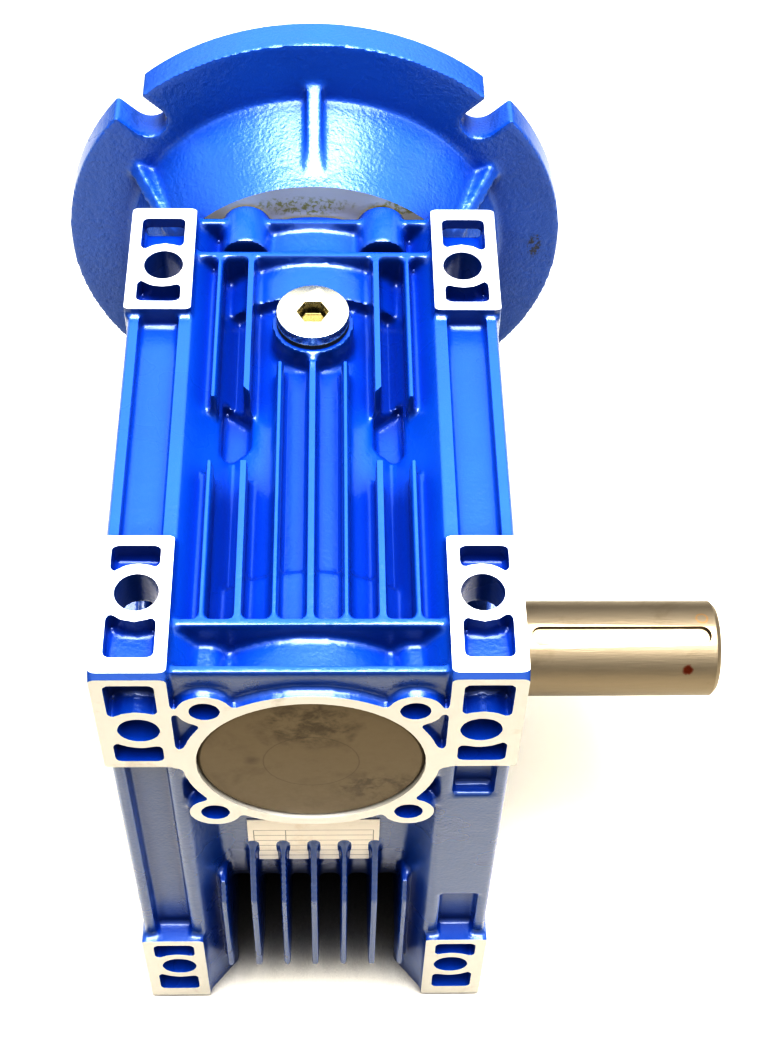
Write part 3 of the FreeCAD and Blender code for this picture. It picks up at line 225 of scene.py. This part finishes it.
def makeOrangePeel():
    tree, source, result = newGroup(
        "orangePeel",
        [("Fine", "Float", 900.0), ("Coarse", "Float", 160.0), ("Grit", "Float", 0.4)],
        ["Height", "Mottle"],
    )
    place = addNode(tree, "TexCoord").outputs["Object"]
    fine = addNode(tree, "TexNoise", {"Detail": 2.0, "Roughness": 0.55})
    coarse = addNode(tree, "TexNoise", {"Detail": 3.0, "Roughness": 0.6})
    broad = addNode(tree, "TexNoise", {"Scale": 28.0, "Detail": 3.0, "Roughness": 0.6})
    for texture in (fine, coarse, broad):
        tree.links.new(place, texture.inputs["Vector"])
    tree.links.new(source.outputs["Fine"], fine.inputs["Scale"])
    tree.links.new(source.outputs["Coarse"], coarse.inputs["Scale"])
    grit = addMath(tree, "MULTIPLY", fine.outputs["Fac"], source.outputs["Grit"])
    height = addMath(tree, "ADD", grit, coarse.outputs["Fac"])
    tree.links.new(height, result.inputs["Height"])
    tree.links.new(broad.outputs["Fac"], result.inputs["Mottle"])
    return tree


def makeStains():
    tree, source, result = newGroup(
        "stains",
        [("Scale", "Float", 60.0), ("Amount", "Float", 0.5), ("Edge", "Float", 0.12)],
        ["Mask"],
    )
    place = addNode(tree, "TexCoord").outputs["Object"]
    cloud = addNode(tree, "TexNoise", {"Detail": 5.0, "Roughness": 0.65, "Distortion": 0.4})
    tree.links.new(place, cloud.inputs["Vector"])
    tree.links.new(source.outputs["Scale"], cloud.inputs["Scale"])
    low = addMath(tree, "SUBTRACT", 1.0, source.outputs["Amount"])
    over = addMath(tree, "SUBTRACT", cloud.outputs["Fac"], low)
    mask = addMath(tree, "DIVIDE", over, source.outputs["Edge"], clamp=True)
    tree.links.new(mask, result.inputs["Mask"])
    return tree


def makeToolMarks():
    tree, source, result = newGroup(
        "toolMarks",
        [("Stretch", "Vector", (1, 1, 1)), ("Scale", "Float", 300.0)],
        ["Height"],
    )
    place = addNode(tree, "TexCoord").outputs["Object"]
    stretch = addNode(tree, "VectorMath", operation="MULTIPLY")
    tree.links.new(place, stretch.inputs[0])
    tree.links.new(source.outputs["Stretch"], stretch.inputs[1])
    lines = addNode(tree, "TexNoise", {"Detail": 4.0, "Roughness": 0.7})
    tree.links.new(stretch.outputs[0], lines.inputs["Vector"])
    tree.links.new(source.outputs["Scale"], lines.inputs["Scale"])
    tree.links.new(lines.outputs["Fac"], result.inputs["Height"])
    return tree


# A soft-edged spot round a point, with a ragged outline, or a thin ring when Ring is one
def makeSpot():
    tree, source, result = newGroup(
        "spotMark",
        [
            ("Center", "Vector", (0, 0, 0)),
            ("Shape", "Vector", (1, 1, 1)),
            ("Radius", "Float", 0.003),
            ("Width", "Float", 0.001),
            ("Ragged", "Float", 0.001),
            ("Grain", "Float", 600.0),
            ("Ring", "Float", 0.0),
        ],
        ["Mask"],
    )
    place = addNode(tree, "TexCoord").outputs["Object"]
    offset = addNode(tree, "VectorMath", operation="SUBTRACT")
    shaped = addNode(tree, "VectorMath", operation="MULTIPLY")
    length = addNode(tree, "VectorMath", operation="LENGTH")
    tree.links.new(place, offset.inputs[0])
    tree.links.new(source.outputs["Center"], offset.inputs[1])
    tree.links.new(offset.outputs[0], shaped.inputs[0])
    tree.links.new(source.outputs["Shape"], shaped.inputs[1])
    tree.links.new(shaped.outputs[0], length.inputs[0])
    rough = addNode(tree, "TexNoise", {"Detail": 4.0, "Roughness": 0.65})
    tree.links.new(place, rough.inputs["Vector"])
    tree.links.new(source.outputs["Grain"], rough.inputs["Scale"])
    middle = addMath(tree, "SUBTRACT", rough.outputs["Fac"], 0.5)
    wander = addMath(tree, "MULTIPLY", middle, source.outputs["Ragged"])
    distance = addMath(tree, "ADD", length.outputs["Value"], wander)
    inside = addMath(tree, "SUBTRACT", source.outputs["Radius"], distance)
    disc = addMath(tree, "DIVIDE", inside, source.outputs["Width"], clamp=True)
    fromEdge = addMath(tree, "DIVIDE", addMath(tree, "ABSOLUTE", inside), source.outputs["Width"])
    ring = addMath(tree, "SUBTRACT", 1.0, fromEdge, clamp=True)
    change = addMath(tree, "SUBTRACT", ring, disc)
    mask = addMath(tree, "MULTIPLY_ADD", source.outputs["Ring"], change, disc)
    tree.links.new(mask, result.inputs["Mask"])
    return tree


spotMark = makeSpot()
orangePeel = makeOrangePeel()
stains = makeStains()
toolMarks = makeToolMarks()


# Material helpers

def newMaterial(name):
    material = bpy.data.materials.new(name)
    material.use_nodes = True
    tree = material.node_tree
    return material, tree, tree.nodes["Principled BSDF"]


def useGroup(tree, group, inputs):
    node = tree.nodes.new("ShaderNodeGroup")
    node.node_tree = group
    for key, value in inputs.items():
        node.inputs[key].default_value = value
    return node


def addBump(tree, shader, height, strength, distance):
    bump = addNode(tree, "Bump", {"Strength": strength, "Distance": distance})
    tree.links.new(height, bump.inputs["Height"])
    tree.links.new(bump.outputs["Normal"], shader.inputs["Normal"])
    return bump.outputs["Normal"]


# Blue paint of the castings

enamel = {
    "deep": (0.0008, 0.092, 0.39),
    "bright": (0.0015, 0.130, 0.48),
    "paintedCornerShade": (0.0003, 0.038, 0.30),  # painted shade: deep corners are painted this darker, duller blue
    "paintedCornerShadeReach": 0.011,
    "roughness": (0.20, 0.36),
    "specular": 0.35,
    "coatIor": 1.7,
    "peelDistance": 0.00022,
    "coats": {
        "blueEnamel": {
            "coarse": 160.0, "grit": 0.7, "peel": 0.45, "coatRoughness": 0.25, "paintedFrontShade": 0.6,
        },
        "flangeEnamel": {
            "coarse": 300.0, "grit": 1.1, "peel": 0.75, "coatRoughness": 0.36, "paintedFrontShade": 0.15,
        },
    },
}


# Painted shade: faces that look to the front are painted darker, as if less light falls on them
def addPaintedFrontShade(tree, color, paintedFrontShade):
    facing = addNode(tree, "SeparateXYZ")
    tree.links.new(addNode(tree, "TexCoord").outputs["Normal"], facing.inputs[0])
    fade = addNode(
        tree, "MapRange",
        {"From Min": 0.0, "From Max": -1.0, "To Min": 1.0, "To Max": 1.0 - paintedFrontShade},
    )
    tree.links.new(facing.outputs["Y"], fade.inputs["Value"])
    shade = addNode(tree, "VectorMath", operation="SCALE")
    tree.links.new(color, shade.inputs[0])
    tree.links.new(fade.outputs["Result"], shade.inputs["Scale"])
    return shade.outputs[0]


def makeEnamel(name, coarse, grit, peel, coatRoughness, paintedFrontShade):
    material, tree, shader = newMaterial(name)
    skin = useGroup(tree, orangePeel, {"Coarse": coarse, "Grit": grit})
    mottle = skin.outputs["Mottle"]
    # Painted shade: ambient occlusion darkens the blue and thins the coat in corners, creases and recesses
    corner = addNode(tree, "AmbientOcclusion", {"Distance": enamel["paintedCornerShadeReach"]}, samples=4)
    openness = corner.outputs["AO"]
    color = mixColor(tree, mottle, enamel["deep"], enamel["bright"])
    color = mixColor(tree, openness, enamel["paintedCornerShade"], color)
    tree.links.new(addPaintedFrontShade(tree, color, paintedFrontShade), shader.inputs["Base Color"])
    smoothest, roughest = enamel["roughness"]
    rough = addMath(tree, "MULTIPLY_ADD", mottle, roughest - smoothest, smoothest)
    tree.links.new(rough, shader.inputs["Roughness"])
    tree.links.new(openness, shader.inputs["Coat Weight"])
    shader.inputs["Specular IOR Level"].default_value = enamel["specular"]
    shader.inputs["Coat Roughness"].default_value = coatRoughness
    shader.inputs["Coat IOR"].default_value = enamel["coatIor"]
    bumped = addBump(tree, shader, skin.outputs["Height"], peel, enamel["peelDistance"])
    tree.links.new(bumped, shader.inputs["Coat Normal"])
    return material


# Bare metals and the gasket, each with tool marks and a darker film in patches

metals = {
    "machinedFace": {
        "color": (0.59, 0.575, 0.54), "film": (0.38, 0.33, 0.265), "roughness": 0.48, "metallic": 0.45,
        "grain": 420.0, "filmScale": 46.0, "filmAmount": 0.40, "bump": 0.10,
    },
    "flangeFace": {
        "color": (0.60, 0.56, 0.46), "film": (0.42, 0.38, 0.29), "roughness": 0.44, "metallic": 0.35,
        "grain": 420.0, "filmScale": 60.0, "filmAmount": 0.42, "bump": 0.10,
    },
    "groundSteel": {
        "color": (0.28, 0.24, 0.18), "film": (0.19, 0.15, 0.095), "roughness": 0.42, "metallic": 1.0,
        "grain": 260.0, "filmScale": 30.0, "filmAmount": 0.44, "bump": 0.45,
        "stretch": (0.5, 9, 9), "distance": 0.00016,
    },
    "turnedSteel": {
        "color": (0.58, 0.56, 0.53), "film": (0.35, 0.30, 0.25), "roughness": 0.30, "metallic": 1.0,
        "grain": 400.0, "filmScale": 40.0, "filmAmount": 0.42, "bump": 0.12,
    },
    "capMetal": {
        "color": (0.160, 0.126, 0.078), "film": (0.120, 0.090, 0.052), "roughness": 0.42, "metallic": 0.55,
        "grain": 500.0, "filmScale": 62.0, "filmAmount": 0.46, "bump": 0.10,
    },
    "plugNickel": {
        "color": (0.74, 0.70, 0.56), "film": (0.56, 0.50, 0.34), "roughness": 0.26, "metallic": 1.0,
        "grain": 700.0, "filmScale": 120.0, "filmAmount": 0.40, "bump": 0.08,
    },
    "zincSteel": {
        "color": (0.66, 0.67, 0.68), "film": (0.52, 0.52, 0.50), "roughness": 0.30, "metallic": 1.0,
        "grain": 900.0, "filmScale": 150.0, "filmAmount": 0.40, "bump": 0.10,
    },
    "bronzeRim": {
        "color": (0.66, 0.42, 0.17), "film": (0.48, 0.28, 0.11), "roughness": 0.32, "metallic": 1.0,
        "grain": 400.0, "filmScale": 60.0, "filmAmount": 0.42, "bump": 0.12, "stretch": (6, 1, 1),
    },
    "castHub": {
        "color": (0.33, 0.33, 0.34), "film": (0.20, 0.19, 0.18), "roughness": 0.48, "metallic": 0.9,
        "grain": 300.0, "filmScale": 60.0, "filmAmount": 0.44, "bump": 0.20,
    },
    "bearingSteel": {
        "color": (0.70, 0.70, 0.70), "film": (0.60, 0.59, 0.56), "roughness": 0.18, "metallic": 1.0,
        "grain": 700.0, "filmScale": 80.0, "filmAmount": 0.36, "bump": 0.06,
    },
    "gasketFiber": {
        "color": (0.10, 0.12, 0.09), "film": (0.05, 0.055, 0.045), "roughness": 0.75, "metallic": 0.0,
        "grain": 1500.0, "filmScale": 200.0, "filmAmount": 0.5, "bump": 0.3,
    },
}

metalSurface = {
    "filmEdge": 0.25,
    "roughnessSpread": 0.16,
}


def makeMetal(name, color, film, roughness, metallic, grain, filmScale, filmAmount, bump,
              stretch=(1, 1, 1), distance=0.00005):
    material, tree, shader = newMaterial(name)
    cut = useGroup(tree, toolMarks, {"Stretch": stretch, "Scale": grain}).outputs["Height"]
    patches = {"Scale": filmScale, "Amount": filmAmount, "Edge": metalSurface["filmEdge"]}
    mask = useGroup(tree, stains, patches).outputs["Mask"]
    tree.links.new(mixColor(tree, mask, color, film), shader.inputs["Base Color"])
    spread = metalSurface["roughnessSpread"]
    rough = addMath(tree, "MULTIPLY_ADD", cut, spread, roughness - spread / 2)
    tree.links.new(rough, shader.inputs["Roughness"])
    shader.inputs["Metallic"].default_value = metallic
    addBump(tree, shader, cut, bump, distance)
    return material


# Black rubber of the oil seals and the plugs' washers

rubber = {
    "color": (0.012, 0.012, 0.013),
    "worn": (0.028, 0.028, 0.030),
    "roughness": 0.42,
    "grain": {"Fine": 2500.0, "Coarse": 500.0, "Grit": 0.5},
    "bump": 0.2,
    "distance": 0.00005,
}


def makeRubber():
    material, tree, shader = newMaterial("sealRubber")
    skin = useGroup(tree, orangePeel, rubber["grain"])
    color = mixColor(tree, skin.outputs["Mottle"], rubber["color"], rubber["worn"])
    tree.links.new(color, shader.inputs["Base Color"])
    shader.inputs["Roughness"].default_value = rubber["roughness"]
    addBump(tree, shader, skin.outputs["Height"], rubber["bump"], rubber["distance"])
    return material


# The nameplate is bare but for its ruled lines

label = {
    "paper": (0.80, 0.74, 0.65),
    "worn": (0.66, 0.57, 0.46),
    "wear": {"Scale": 90.0, "Amount": 0.45, "Edge": 0.2},
    "ink": (0.10, 0.075, 0.06),
    "inkCover": 0.7,
    "ruleHalf": 0.00013,
    "topRow": 0.0993,
    "rowStep": 0.0033,
    "rowCount": 6,
    "columns": (-0.0182, -0.0085, 0.0182),
    "roughness": 0.38,
    "grain": {"Coarse": 300.0},
    "bump": 0.08,
    "distance": 0.00004,
}


def addRules(tree, place, levels):
    rules = addMath(tree, "COMPARE", place, levels[0], label["ruleHalf"])
    for level in levels[1:]:
        rule = addMath(tree, "COMPARE", place, level, label["ruleHalf"])
        rules = addMath(tree, "MAXIMUM", rules, rule)
    return rules


def makeLabel():
    material, tree, shader = newMaterial("bareLabel")
    skin = useGroup(tree, orangePeel, label["grain"])
    wear = useGroup(tree, stains, label["wear"]).outputs["Mask"]
    paper = mixColor(tree, wear, label["paper"], label["worn"])
    place = addNode(tree, "SeparateXYZ")
    tree.links.new(addNode(tree, "TexCoord").outputs["Object"], place.inputs[0])
    across = place.outputs["X"]
    up = place.outputs["Z"]
    rowLevels = [label["topRow"] - label["rowStep"] * index for index in range(label["rowCount"])]
    within = addMath(tree, "COMPARE", across, 0.0, label["columns"][-1])
    below = addMath(tree, "LESS_THAN", up, label["topRow"])
    rows = addMath(tree, "MULTIPLY", addRules(tree, up, rowLevels), within)
    columns = addMath(tree, "MULTIPLY", addRules(tree, across, label["columns"]), below)
    cover = addMath(tree, "MULTIPLY", addMath(tree, "MAXIMUM", rows, columns), label["inkCover"])
    tree.links.new(mixColor(tree, cover, paper, label["ink"]), shader.inputs["Base Color"])
    shader.inputs["Roughness"].default_value = label["roughness"]
    addBump(tree, shader, skin.outputs["Height"], label["bump"], label["distance"])
    return material


# Marks seen on single pieces, by the material that shows them; places and radii in metres

markColors = {
    "oil": (0.075, 0.055, 0.030),
    "oilFilm": (0.34, 0.30, 0.05),
    "rust": (0.16, 0.030, 0.006),
    "rustRing": (0.42, 0.24, 0.08),
    "scuff": (0.004, 0.004, 0.006),
    "paintedSocketShade": (0.105, 0.088, 0.030),
}

marks = {
    "capMetal": [
        {
            "spot": {
                "Center": (-0.001, -0.0853, 0.182), "Shape": (0.8, 1, 0.8),
                "Radius": 0.0125, "Width": 0.006, "Ragged": 0.012, "Grain": 220.0,
            },
            "mottle": {"Scale": 240.0, "Amount": 0.60, "Edge": 0.22},
            "color": "oil",
            "cover": 0.85,
        },
        {
            "spot": {
                "Center": (0.018, -0.0853, 0.147), "Shape": (0.8, 1, 1.3),
                "Radius": 0.0120, "Width": 0.006, "Ragged": 0.012, "Grain": 220.0,
            },
            "mottle": {"Scale": 300.0, "Amount": 0.56, "Edge": 0.18},
            "color": "oil",
            "cover": 0.7,
        },
        {
            "spot": {
                "Center": (-0.016, -0.0853, 0.162),
                "Radius": 0.0028, "Width": 0.0022, "Ragged": 0.003, "Grain": 500.0,
            },
            "color": "oil",
            "cover": 0.55,
        },
        {
            "spot": {
                "Center": (0.0, -0.0853, 0.161),
                "Radius": 0.0130, "Width": 0.00025, "Ragged": 0.0004, "Ring": 1.0,
            },
            "color": "oil",
            "cover": 0.55,
        },
    ],
    # Painted shade: the plug's hex socket is painted dark
    "plugNickel": [
        {
            "spot": {
                "Center": (0, 0.0375, 0.2042), "Shape": (1, 1, 1.15),
                "Radius": 0.0049, "Width": 0.0006, "Ragged": 0.0004,
            },
            "color": "paintedSocketShade",
            "cover": 0.92,
        },
    ],
    "groundSteel": [
        {
            "spot": {
                "Center": (0.1224, -0.0137, 0.0939),
                "Radius": 0.0021, "Width": 0.0009, "Ragged": 0.0016, "Grain": 900.0,
            },
            "color": "rust",
            "cover": 0.95,
        },
        {
            "spot": {
                "Center": (0.1276, 0.0014, 0.1018),
                "Radius": 0.0018, "Width": 0.0005, "Ragged": 0.0010, "Ring": 1.0,
            },
            "color": "rustRing",
            "cover": 0.6,
        },
    ],
    "flangeEnamel": [
        {
            "spot": {
                "Center": (0.0745, 0.1150, 0.1610), "Shape": (1.6, 1, 0.7),
                "Radius": 0.0042, "Width": 0.0010, "Ragged": 0.0060, "Grain": 700.0,
            },
            "mottle": {"Scale": 700.0, "Amount": 0.52, "Edge": 0.06},
            "color": "scuff",
            "cover": 0.9,
        },
    ],
    "flangeFace": [
        {
            "spot": {
                "Center": (-0.003, 0.0865, 0.2045), "Shape": (0.30, 1, 1.2),
                "Radius": 0.0050, "Width": 0.0020, "Ragged": 0.004, "Grain": 500.0,
            },
            "mottle": {"Scale": 520.0, "Amount": 0.52, "Edge": 0.10},
            "color": "oilFilm",
            "cover": 0.8,
        },
        {
            "spot": {
                "Center": (0.026, 0.0865, 0.2040), "Shape": (0.45, 1, 1.2),
                "Radius": 0.0045, "Width": 0.0020, "Ragged": 0.004, "Grain": 500.0,
            },
            "mottle": {"Scale": 520.0, "Amount": 0.55, "Edge": 0.10},
            "color": "oilFilm",
            "cover": 0.8,
        },
    ],
}


def addMark(tree, color, mark):
    spot = useGroup(tree, spotMark, mark["spot"])
    cover = addMath(tree, "MULTIPLY", spot.outputs["Mask"], mark["cover"])
    if "mottle" in mark:
        cloud = useGroup(tree, stains, mark["mottle"])
        cover = addMath(tree, "MULTIPLY", cover, cloud.outputs["Mask"])
    return mixColor(tree, cover, color, markColors[mark["color"]])


looks = {}
for lookName, values in enamel["coats"].items():
    looks[lookName] = makeEnamel(lookName, **values)
for lookName, values in metals.items():
    looks[lookName] = makeMetal(lookName, **values)
looks["sealRubber"] = makeRubber()
looks["bareLabel"] = makeLabel()
for lookName, lookMarks in marks.items():
    lookTree = looks[lookName].node_tree
    baseColor = lookTree.nodes["Principled BSDF"].inputs["Base Color"]
    for lookMark in lookMarks:
        lookTree.links.new(addMark(lookTree, baseColor.links[0].from_socket, lookMark), baseColor)
print("materials ready:", len(looks))


# Pieces

weldDistance = 0.000002


def linkPiece(name, mesh, finishes):
    piece = bpy.data.objects.new(name, mesh)
    mesh.materials.clear()
    for finish in finishes:
        mesh.materials.append(finish)
    bpy.context.scene.collection.objects.link(piece)
    return piece


def applied(piece):
    graph = bpy.context.evaluated_depsgraph_get()
    mesh = bpy.data.meshes.new_from_object(piece.evaluated_get(graph))
    piece.modifiers.clear()
    piece.data = mesh
    return mesh


def standFor(piece, nodeName):
    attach(piece, nodes[nodeName]["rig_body"])
    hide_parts(nodeName)


def mergedCopy(nodeName):
    shape = bmesh.new()
    shape.from_mesh(nodes[nodeName].data)
    bmesh.ops.remove_doubles(shape, verts=shape.verts, dist=weldDistance)
    return shape


# Castings

casting = {
    "grid": 0.0009,        # voxel of the cast skin
    "allowance": 0.0012,   # metal that the cutter takes off the machined faces
    "onPlane": 0.00004,    # a corner this near a machined plane lies on it
    "cutSlack": 0.000001,
    "softness": 0.5,
    "smoothing": 3,
    "edgeAngle": 38,
    "faceWeight": 80,
    "slot": "blue_casting",
}
castFace = 0
machinedSide = 1


def growStock(shape, planes):
    for axis, level, side in planes:
        for vert in shape.verts:
            if (vert.co[axis] - level) * side > -casting["onPlane"]:
                vert.co[axis] += casting["allowance"] * side


def giveCastSkin(piece, triangles):
    skin = piece.modifiers.new("skin", "REMESH")
    skin.mode = "VOXEL"
    skin.voxel_size = casting["grid"]
    faceCount = len(applied(piece).polygons)
    soften = piece.modifiers.new("soften", "SMOOTH")
    soften.factor = casting["softness"]
    soften.iterations = casting["smoothing"]
    thin = piece.modifiers.new("thin", "DECIMATE")
    thin.ratio = min(1.0, triangles / (2 * faceCount))
    applied(piece)


def cutToPlanes(shape, planes):
    for axis, level, side in planes:
        normal = Vector((0, 0, 0))
        normal[axis] = side
        point = Vector((0, 0, 0))
        point[axis] = level
        stock = shape.verts[:] + shape.edges[:] + shape.faces[:]
        cut = bmesh.ops.bisect_plane(
            shape, geom=stock, dist=casting["cutSlack"], plane_co=point, plane_no=normal, clear_outer=True
        )
        rim = [part for part in cut["geom_cut"] if isinstance(part, bmesh.types.BMEdge)]
        filled = bmesh.ops.triangle_fill(
            shape, edges=rim, use_beauty=True, use_dissolve=False, normal=normal
        )
        for face in filled["geom"]:
            if isinstance(face, bmesh.types.BMFace):
                face.material_index = machinedSide
                if face.normal.dot(normal) < 0:
                    face.normal_flip()


# A casting is grown a little where it is machined, given its soft cast skin, and then cut to its planes
def castPiece(nodeName, planes, triangles, finishes, isMachined):
    shape = mergedCopy(nodeName)
    growStock(shape, planes)
    stock = bpy.data.meshes.new(nodeName + "Skin")
    shape.to_mesh(stock)
    shape.free()
    piece = linkPiece(nodeName + "Cast", stock, [looks[name] for name in finishes])
    giveCastSkin(piece, triangles)
    shape = bmesh.new()
    shape.from_mesh(piece.data)
    cutToPlanes(shape, planes)
    for face in shape.faces:
        face.smooth = True
        if face.material_index == castFace and isMachined(face.calc_center_median(), face.normal):
            face.material_index = machinedSide
    mesh = piece.data
    shape.to_mesh(mesh)
    shape.free()
    mesh.set_sharp_from_angle(angle=math.radians(casting["edgeAngle"]))
    weigh = piece.modifiers.new("weigh", "WEIGHTED_NORMAL")
    weigh.keep_sharp = True
    weigh.weight = casting["faceWeight"]
    standFor(piece, nodeName)
    print(nodeName, "cast skin:", len(mesh.polygons), "faces")


def fromAxis(point, center, axis):
    offset = point - center
    offset[axis] = 0
    return offset.length


# Bare metal also shows on the output rims, in the bores and in the motor's pilot,
# each told by its radius and by how far out it begins
machined = {
    "rimReach": 0.0566,
    "rimSquareness": 0.8,
    "capSeatReach": 0.052,
    "capSeatEdge": 0.0366,
    "capBore": 0.0345,
    "outputBore": 0.0478,
    "outputBoreReach": 0.0325,
    "pilotReach": 0.1196,
    "pilotRadius": 0.0580,
}


def housingMachined(point, normal):
    if point.x > machined["rimReach"] and abs(normal.x) > machined["rimSquareness"]:
        return True
    wormRadius = fromAxis(point, wormAxis, alongY)
    if wormRadius < machined["capSeatEdge"] and abs(point.y) > machined["capSeatReach"]:
        return wormRadius < machined["capBore"]
    outputRadius = fromAxis(point, outputAxis, alongX)
    return outputRadius < machined["outputBore"] and abs(point.x) > machined["outputBoreReach"]


def flangeMachined(point, normal):
    return point.y > machined["pilotReach"] and fromAxis(point, wormAxis, alongY) < machined["pilotRadius"]


def coverMachined(point, normal):
    return point.x < -machined["rimReach"] and abs(normal.x) > machined["rimSquareness"]


housingLow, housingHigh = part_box("housing")
flangeLow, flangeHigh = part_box("input_flange")
castings = {
    "housing": {
        "planes": [
            (alongY, housingLow[alongY], -1),
            (alongY, housingHigh[alongY], 1),
            (alongZ, housingHigh[alongZ], 1),
            (alongZ, housingLow[alongZ], -1),
        ],
        "triangles": 180000,
        "finishes": ["blueEnamel", "machinedFace"],
        "isMachined": housingMachined,
    },
    "input_flange": {
        "planes": [(alongY, flangeHigh[alongY], 1), (alongY, flangeLow[alongY], -1)],
        "triangles": 110000,
        "finishes": ["flangeEnamel", "flangeFace"],
        "isMachined": flangeMachined,
    },
    "side_cover": {
        "planes": [],
        "triangles": 70000,
        "finishes": ["blueEnamel", "machinedFace"],
        "isMachined": coverMachined,
    },
}
for castName, values in castings.items():
    castPiece(castName, **values)


# Machined parts keep their exact solid, with the sharp corners broken by a small chamfer

turning = {
    "flatAngle": 0.3,
    "cornerAngle": 35,
    "shadeAngle": 32,
    "chamferSteps": 2,
}

turnedPieces = {
    "output_shaft": {"look": "groundSteel", "slot": "ground_steel", "corner": 0.00025},
    "worm_shaft": {"look": "turnedSteel", "slot": "ground_steel", "corner": 0},
    "wheel_hub": {"look": "castHub", "slot": "cast_hub", "corner": 0},
    "worm_wheel_rim": {"look": "bronzeRim", "slot": "bronze", "corner": 0},
    "side_cover_screws": {"look": "zincSteel", "slot": "zinc_steel", "corner": 0.00025},
    "flange_bolts": {"look": "zincSteel", "slot": "zinc_steel", "corner": 0.00025},
    "shaft_retaining_bolt": {"look": "zincSteel", "slot": "zinc_steel", "corner": 0.0003},
    "shaft_retaining_washer": {"look": "zincSteel", "slot": "zinc_steel", "corner": 0.0003},
    "fill_plug": {"look": "plugNickel", "slot": "zinc_steel", "corner": 0.0003},
    "drain_plug": {"look": "plugNickel", "slot": "zinc_steel", "corner": 0.0003},
    "fill_plug_washer": {"look": "sealRubber", "slot": "seal_rubber", "corner": 0.0003},
    "drain_plug_washer": {"look": "sealRubber", "slot": "seal_rubber", "corner": 0.0003},
    "oil_seals": {"look": "sealRubber", "slot": "seal_rubber", "corner": 0.0003},
    "rear_end_cap": {"look": "capMetal", "slot": "cap_metal", "corner": 0.0002},
    "nameplate": {"look": "bareLabel", "slot": "label_white", "corner": 0},
}


def breakCorners(shape, corner):
    limit = math.radians(turning["cornerAngle"])
    sharp = [edge for edge in shape.edges if edge.is_manifold and edge.calc_face_angle(0) > limit]
    bmesh.ops.bevel(
        shape, geom=sharp, offset=corner, offset_type="OFFSET", affect="EDGES",
        segments=turning["chamferSteps"], profile=0.5, material=-1, clamp_overlap=True,
    )


def turnedPiece(nodeName, look, slot, corner):
    shape = mergedCopy(nodeName)
    bmesh.ops.dissolve_limit(
        shape, angle_limit=math.radians(turning["flatAngle"]), verts=shape.verts, edges=shape.edges,
        use_dissolve_boundaries=False,
    )
    if corner:
        breakCorners(shape, corner)
    for face in shape.faces:
        face.smooth = True
    mesh = bpy.data.meshes.new(nodeName + "Finish")
    shape.to_mesh(mesh)
    shape.free()
    piece = linkPiece(nodeName + "Finish", mesh, [looks[look]])
    mesh.set_sharp_from_angle(angle=math.radians(turning["shadeAngle"]))
    standFor(piece, nodeName)


for turnedName, values in turnedPieces.items():
    turnedPiece(turnedName, **values)


# The hub key, the gasket and the bearings stay as they are and only get their material
def dressNode(node, look):
    node.data.materials.clear()
    node.data.materials.append(look)


dressNode(nodes["hub_key"], looks["zincSteel"])
dressNode(nodes["input_gasket"], looks["gasketFiber"])
for nodeName, node in nodes.items():
    if "bearing" in nodeName:
        dressNode(node, looks["bearingSteel"])
print("machined parts ready")


# Floor: a painted shadow darkens it right under the body, plain beside it, and clear when seen from below

ground = {
    "color": (0.80, 0.755, 0.66),
    "paintedShadowUnderBody": (0.02, 0.014, 0.008),
    "openness": (0.10, 0.50),
    "reach": 0.035,
    "roughness": 0.8,
    "half": 0.7,
}


def makeFloor():
    material, tree, shader = newMaterial("paleFloor")
    under, beside = ground["openness"]
    # Painted shadow: ambient occlusion turns the floor dark where the body hangs over it
    near = addNode(tree, "AmbientOcclusion", {"Distance": ground["reach"]}, samples=8)
    openness = addNode(tree, "MapRange", {"From Min": under, "From Max": beside})
    tree.links.new(near.outputs["AO"], openness.inputs["Value"])
    shade = mixColor(tree, openness.outputs["Result"], ground["paintedShadowUnderBody"], ground["color"])
    tree.links.new(shade, shader.inputs["Base Color"])
    shader.inputs["Roughness"].default_value = ground["roughness"]
    side = addNode(tree, "NewGeometry")
    clear = addNode(tree, "BsdfTransparent")
    blend = addNode(tree, "MixShader")
    tree.links.new(side.outputs["Backfacing"], blend.inputs["Fac"])
    tree.links.new(shader.outputs["BSDF"], blend.inputs[1])
    tree.links.new(clear.outputs[0], blend.inputs[2])
    tree.links.new(blend.outputs[0], tree.nodes["Material Output"].inputs["Surface"])
    return material


def addFloor():
    shape = bmesh.new()
    bmesh.ops.create_grid(shape, x_segments=1, y_segments=1, size=ground["half"])
    mesh = bpy.data.meshes.new("floor")
    shape.to_mesh(mesh)
    shape.free()
    floor = linkPiece("floor", mesh, [makeFloor()])


addFloor()
addStudio()
addCamera()
print("studio ready")
